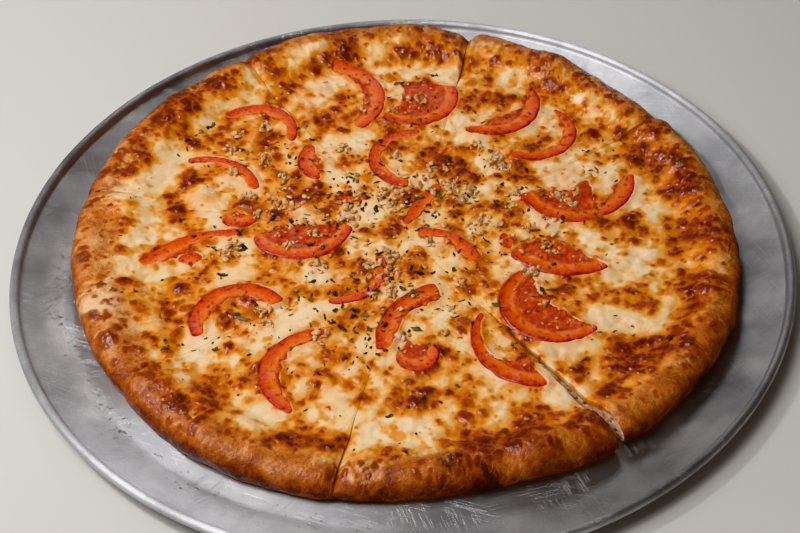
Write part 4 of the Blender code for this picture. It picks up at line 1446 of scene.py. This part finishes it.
FLOOR_HALF = 3000.0
FLOOR_DROP = 0.4
CAMERA_AIM = (-1.0, -2.4, 0.0)
CAMERA_DISTANCE = 920.0
CAMERA_DOWN = 43.67
CAMERA_ROLL = -1.83
CAMERA_LENS = 78.75
LIGHT_DISTANCE = 1200.0

# Soft lights: angle round the pan, angle above the table, width, height and power in watts.
LIGHTS = {
    "key": (204.0, 58.0, 800.0, 900.0, 7.3),
    "strip": (208.0, 62.0, 200.0, 600.0, 2.9),
    "sparkle": (170.0, 50.0, 90.0, 90.0, 4.2),
    "low_left": (145.0, 24.0, 500.0, 400.0, 0.9),
    "back": (94.0, 40.0, 340.0, 340.0, 1.0),
    "low_back": (72.0, 12.0, 300.0, 100.0, 0.5),
    "front": (282.0, 24.0, 800.0, 400.0, 1.0),
    "ceiling": (90.0, 82.0, 600.0, 600.0, 0.5),
}
ROOM_TINT = (1.0, 0.88, 0.74, 1.0)
ROOM_STRENGTH = 0.075


def add_object(name, data):
    """A new object in the scene."""
    made = bpy.data.objects.new(name, data)
    bpy.context.scene.collection.objects.link(made)
    return made


def add_floor():
    """A large square just under the pan."""
    corners = np.array([(-1, -1, 0), (1, -1, 0), (1, 1, 0), (-1, 1, 0)]) * FLOOR_HALF * METRES
    data = bpy.data.meshes.new("floor")
    data.from_pydata(corners.tolist(), [], [(0, 1, 2, 3)])
    made, _, shader = new_material("Pale floor", Roughness=0.8)
    shader.inputs["Base Color"].default_value = colour(206, 203, 198)
    data.materials.append(made)
    floor = add_object("floor", data)
    floor.location.z = -FLOOR_DROP * METRES


def add_softbox(name, around, up, width, height, power):
    """A soft light that faces the pan, from an angle round it and an angle above the table."""
    data = bpy.data.lights.new(name, "AREA")
    data.shape, data.size, data.size_y = "RECTANGLE", width * METRES, height * METRES
    data.energy = power
    lamp = add_object(name, data)
    around, up = math.radians(around), math.radians(up)
    across, rise = LIGHT_DISTANCE * METRES * math.cos(up), LIGHT_DISTANCE * METRES * math.sin(up)
    lamp.location = (across * math.cos(around), across * math.sin(around), rise)
    lamp.rotation_euler = lamp.location.to_track_quat("Z", "Y").to_euler()


def add_camera():
    """The camera at its distance from the aim, pitched down and rolled about its own line of sight."""
    data = bpy.data.cameras.new("camera")
    data.lens = CAMERA_LENS
    data.clip_end = 20.0
    camera = add_object("camera", data)
    down = math.radians(CAMERA_DOWN)
    back = np.array([0.0, -math.cos(down), math.sin(down)])
    camera.location = (np.array(CAMERA_AIM) + CAMERA_DISTANCE * back) * METRES
    pitch = Matrix.Rotation(math.pi / 2 - down, 3, "X")
    camera.rotation_euler = (pitch @ Matrix.Rotation(math.radians(CAMERA_ROLL), 3, "Z")).to_euler()
    bpy.context.scene.camera = camera


add_floor()
for name, values in LIGHTS.items():
    add_softbox(name, *values)
add_camera()
world = bpy.data.worlds.new("studio")
world.use_nodes = True
world.node_tree.nodes["Background"].inputs["Color"].default_value = ROOM_TINT
world.node_tree.nodes["Background"].inputs["Strength"].default_value = ROOM_STRENGTH
bpy.context.scene.world = world
bpy.context.scene.view_settings.view_transform = "Khronos PBR Neutral"
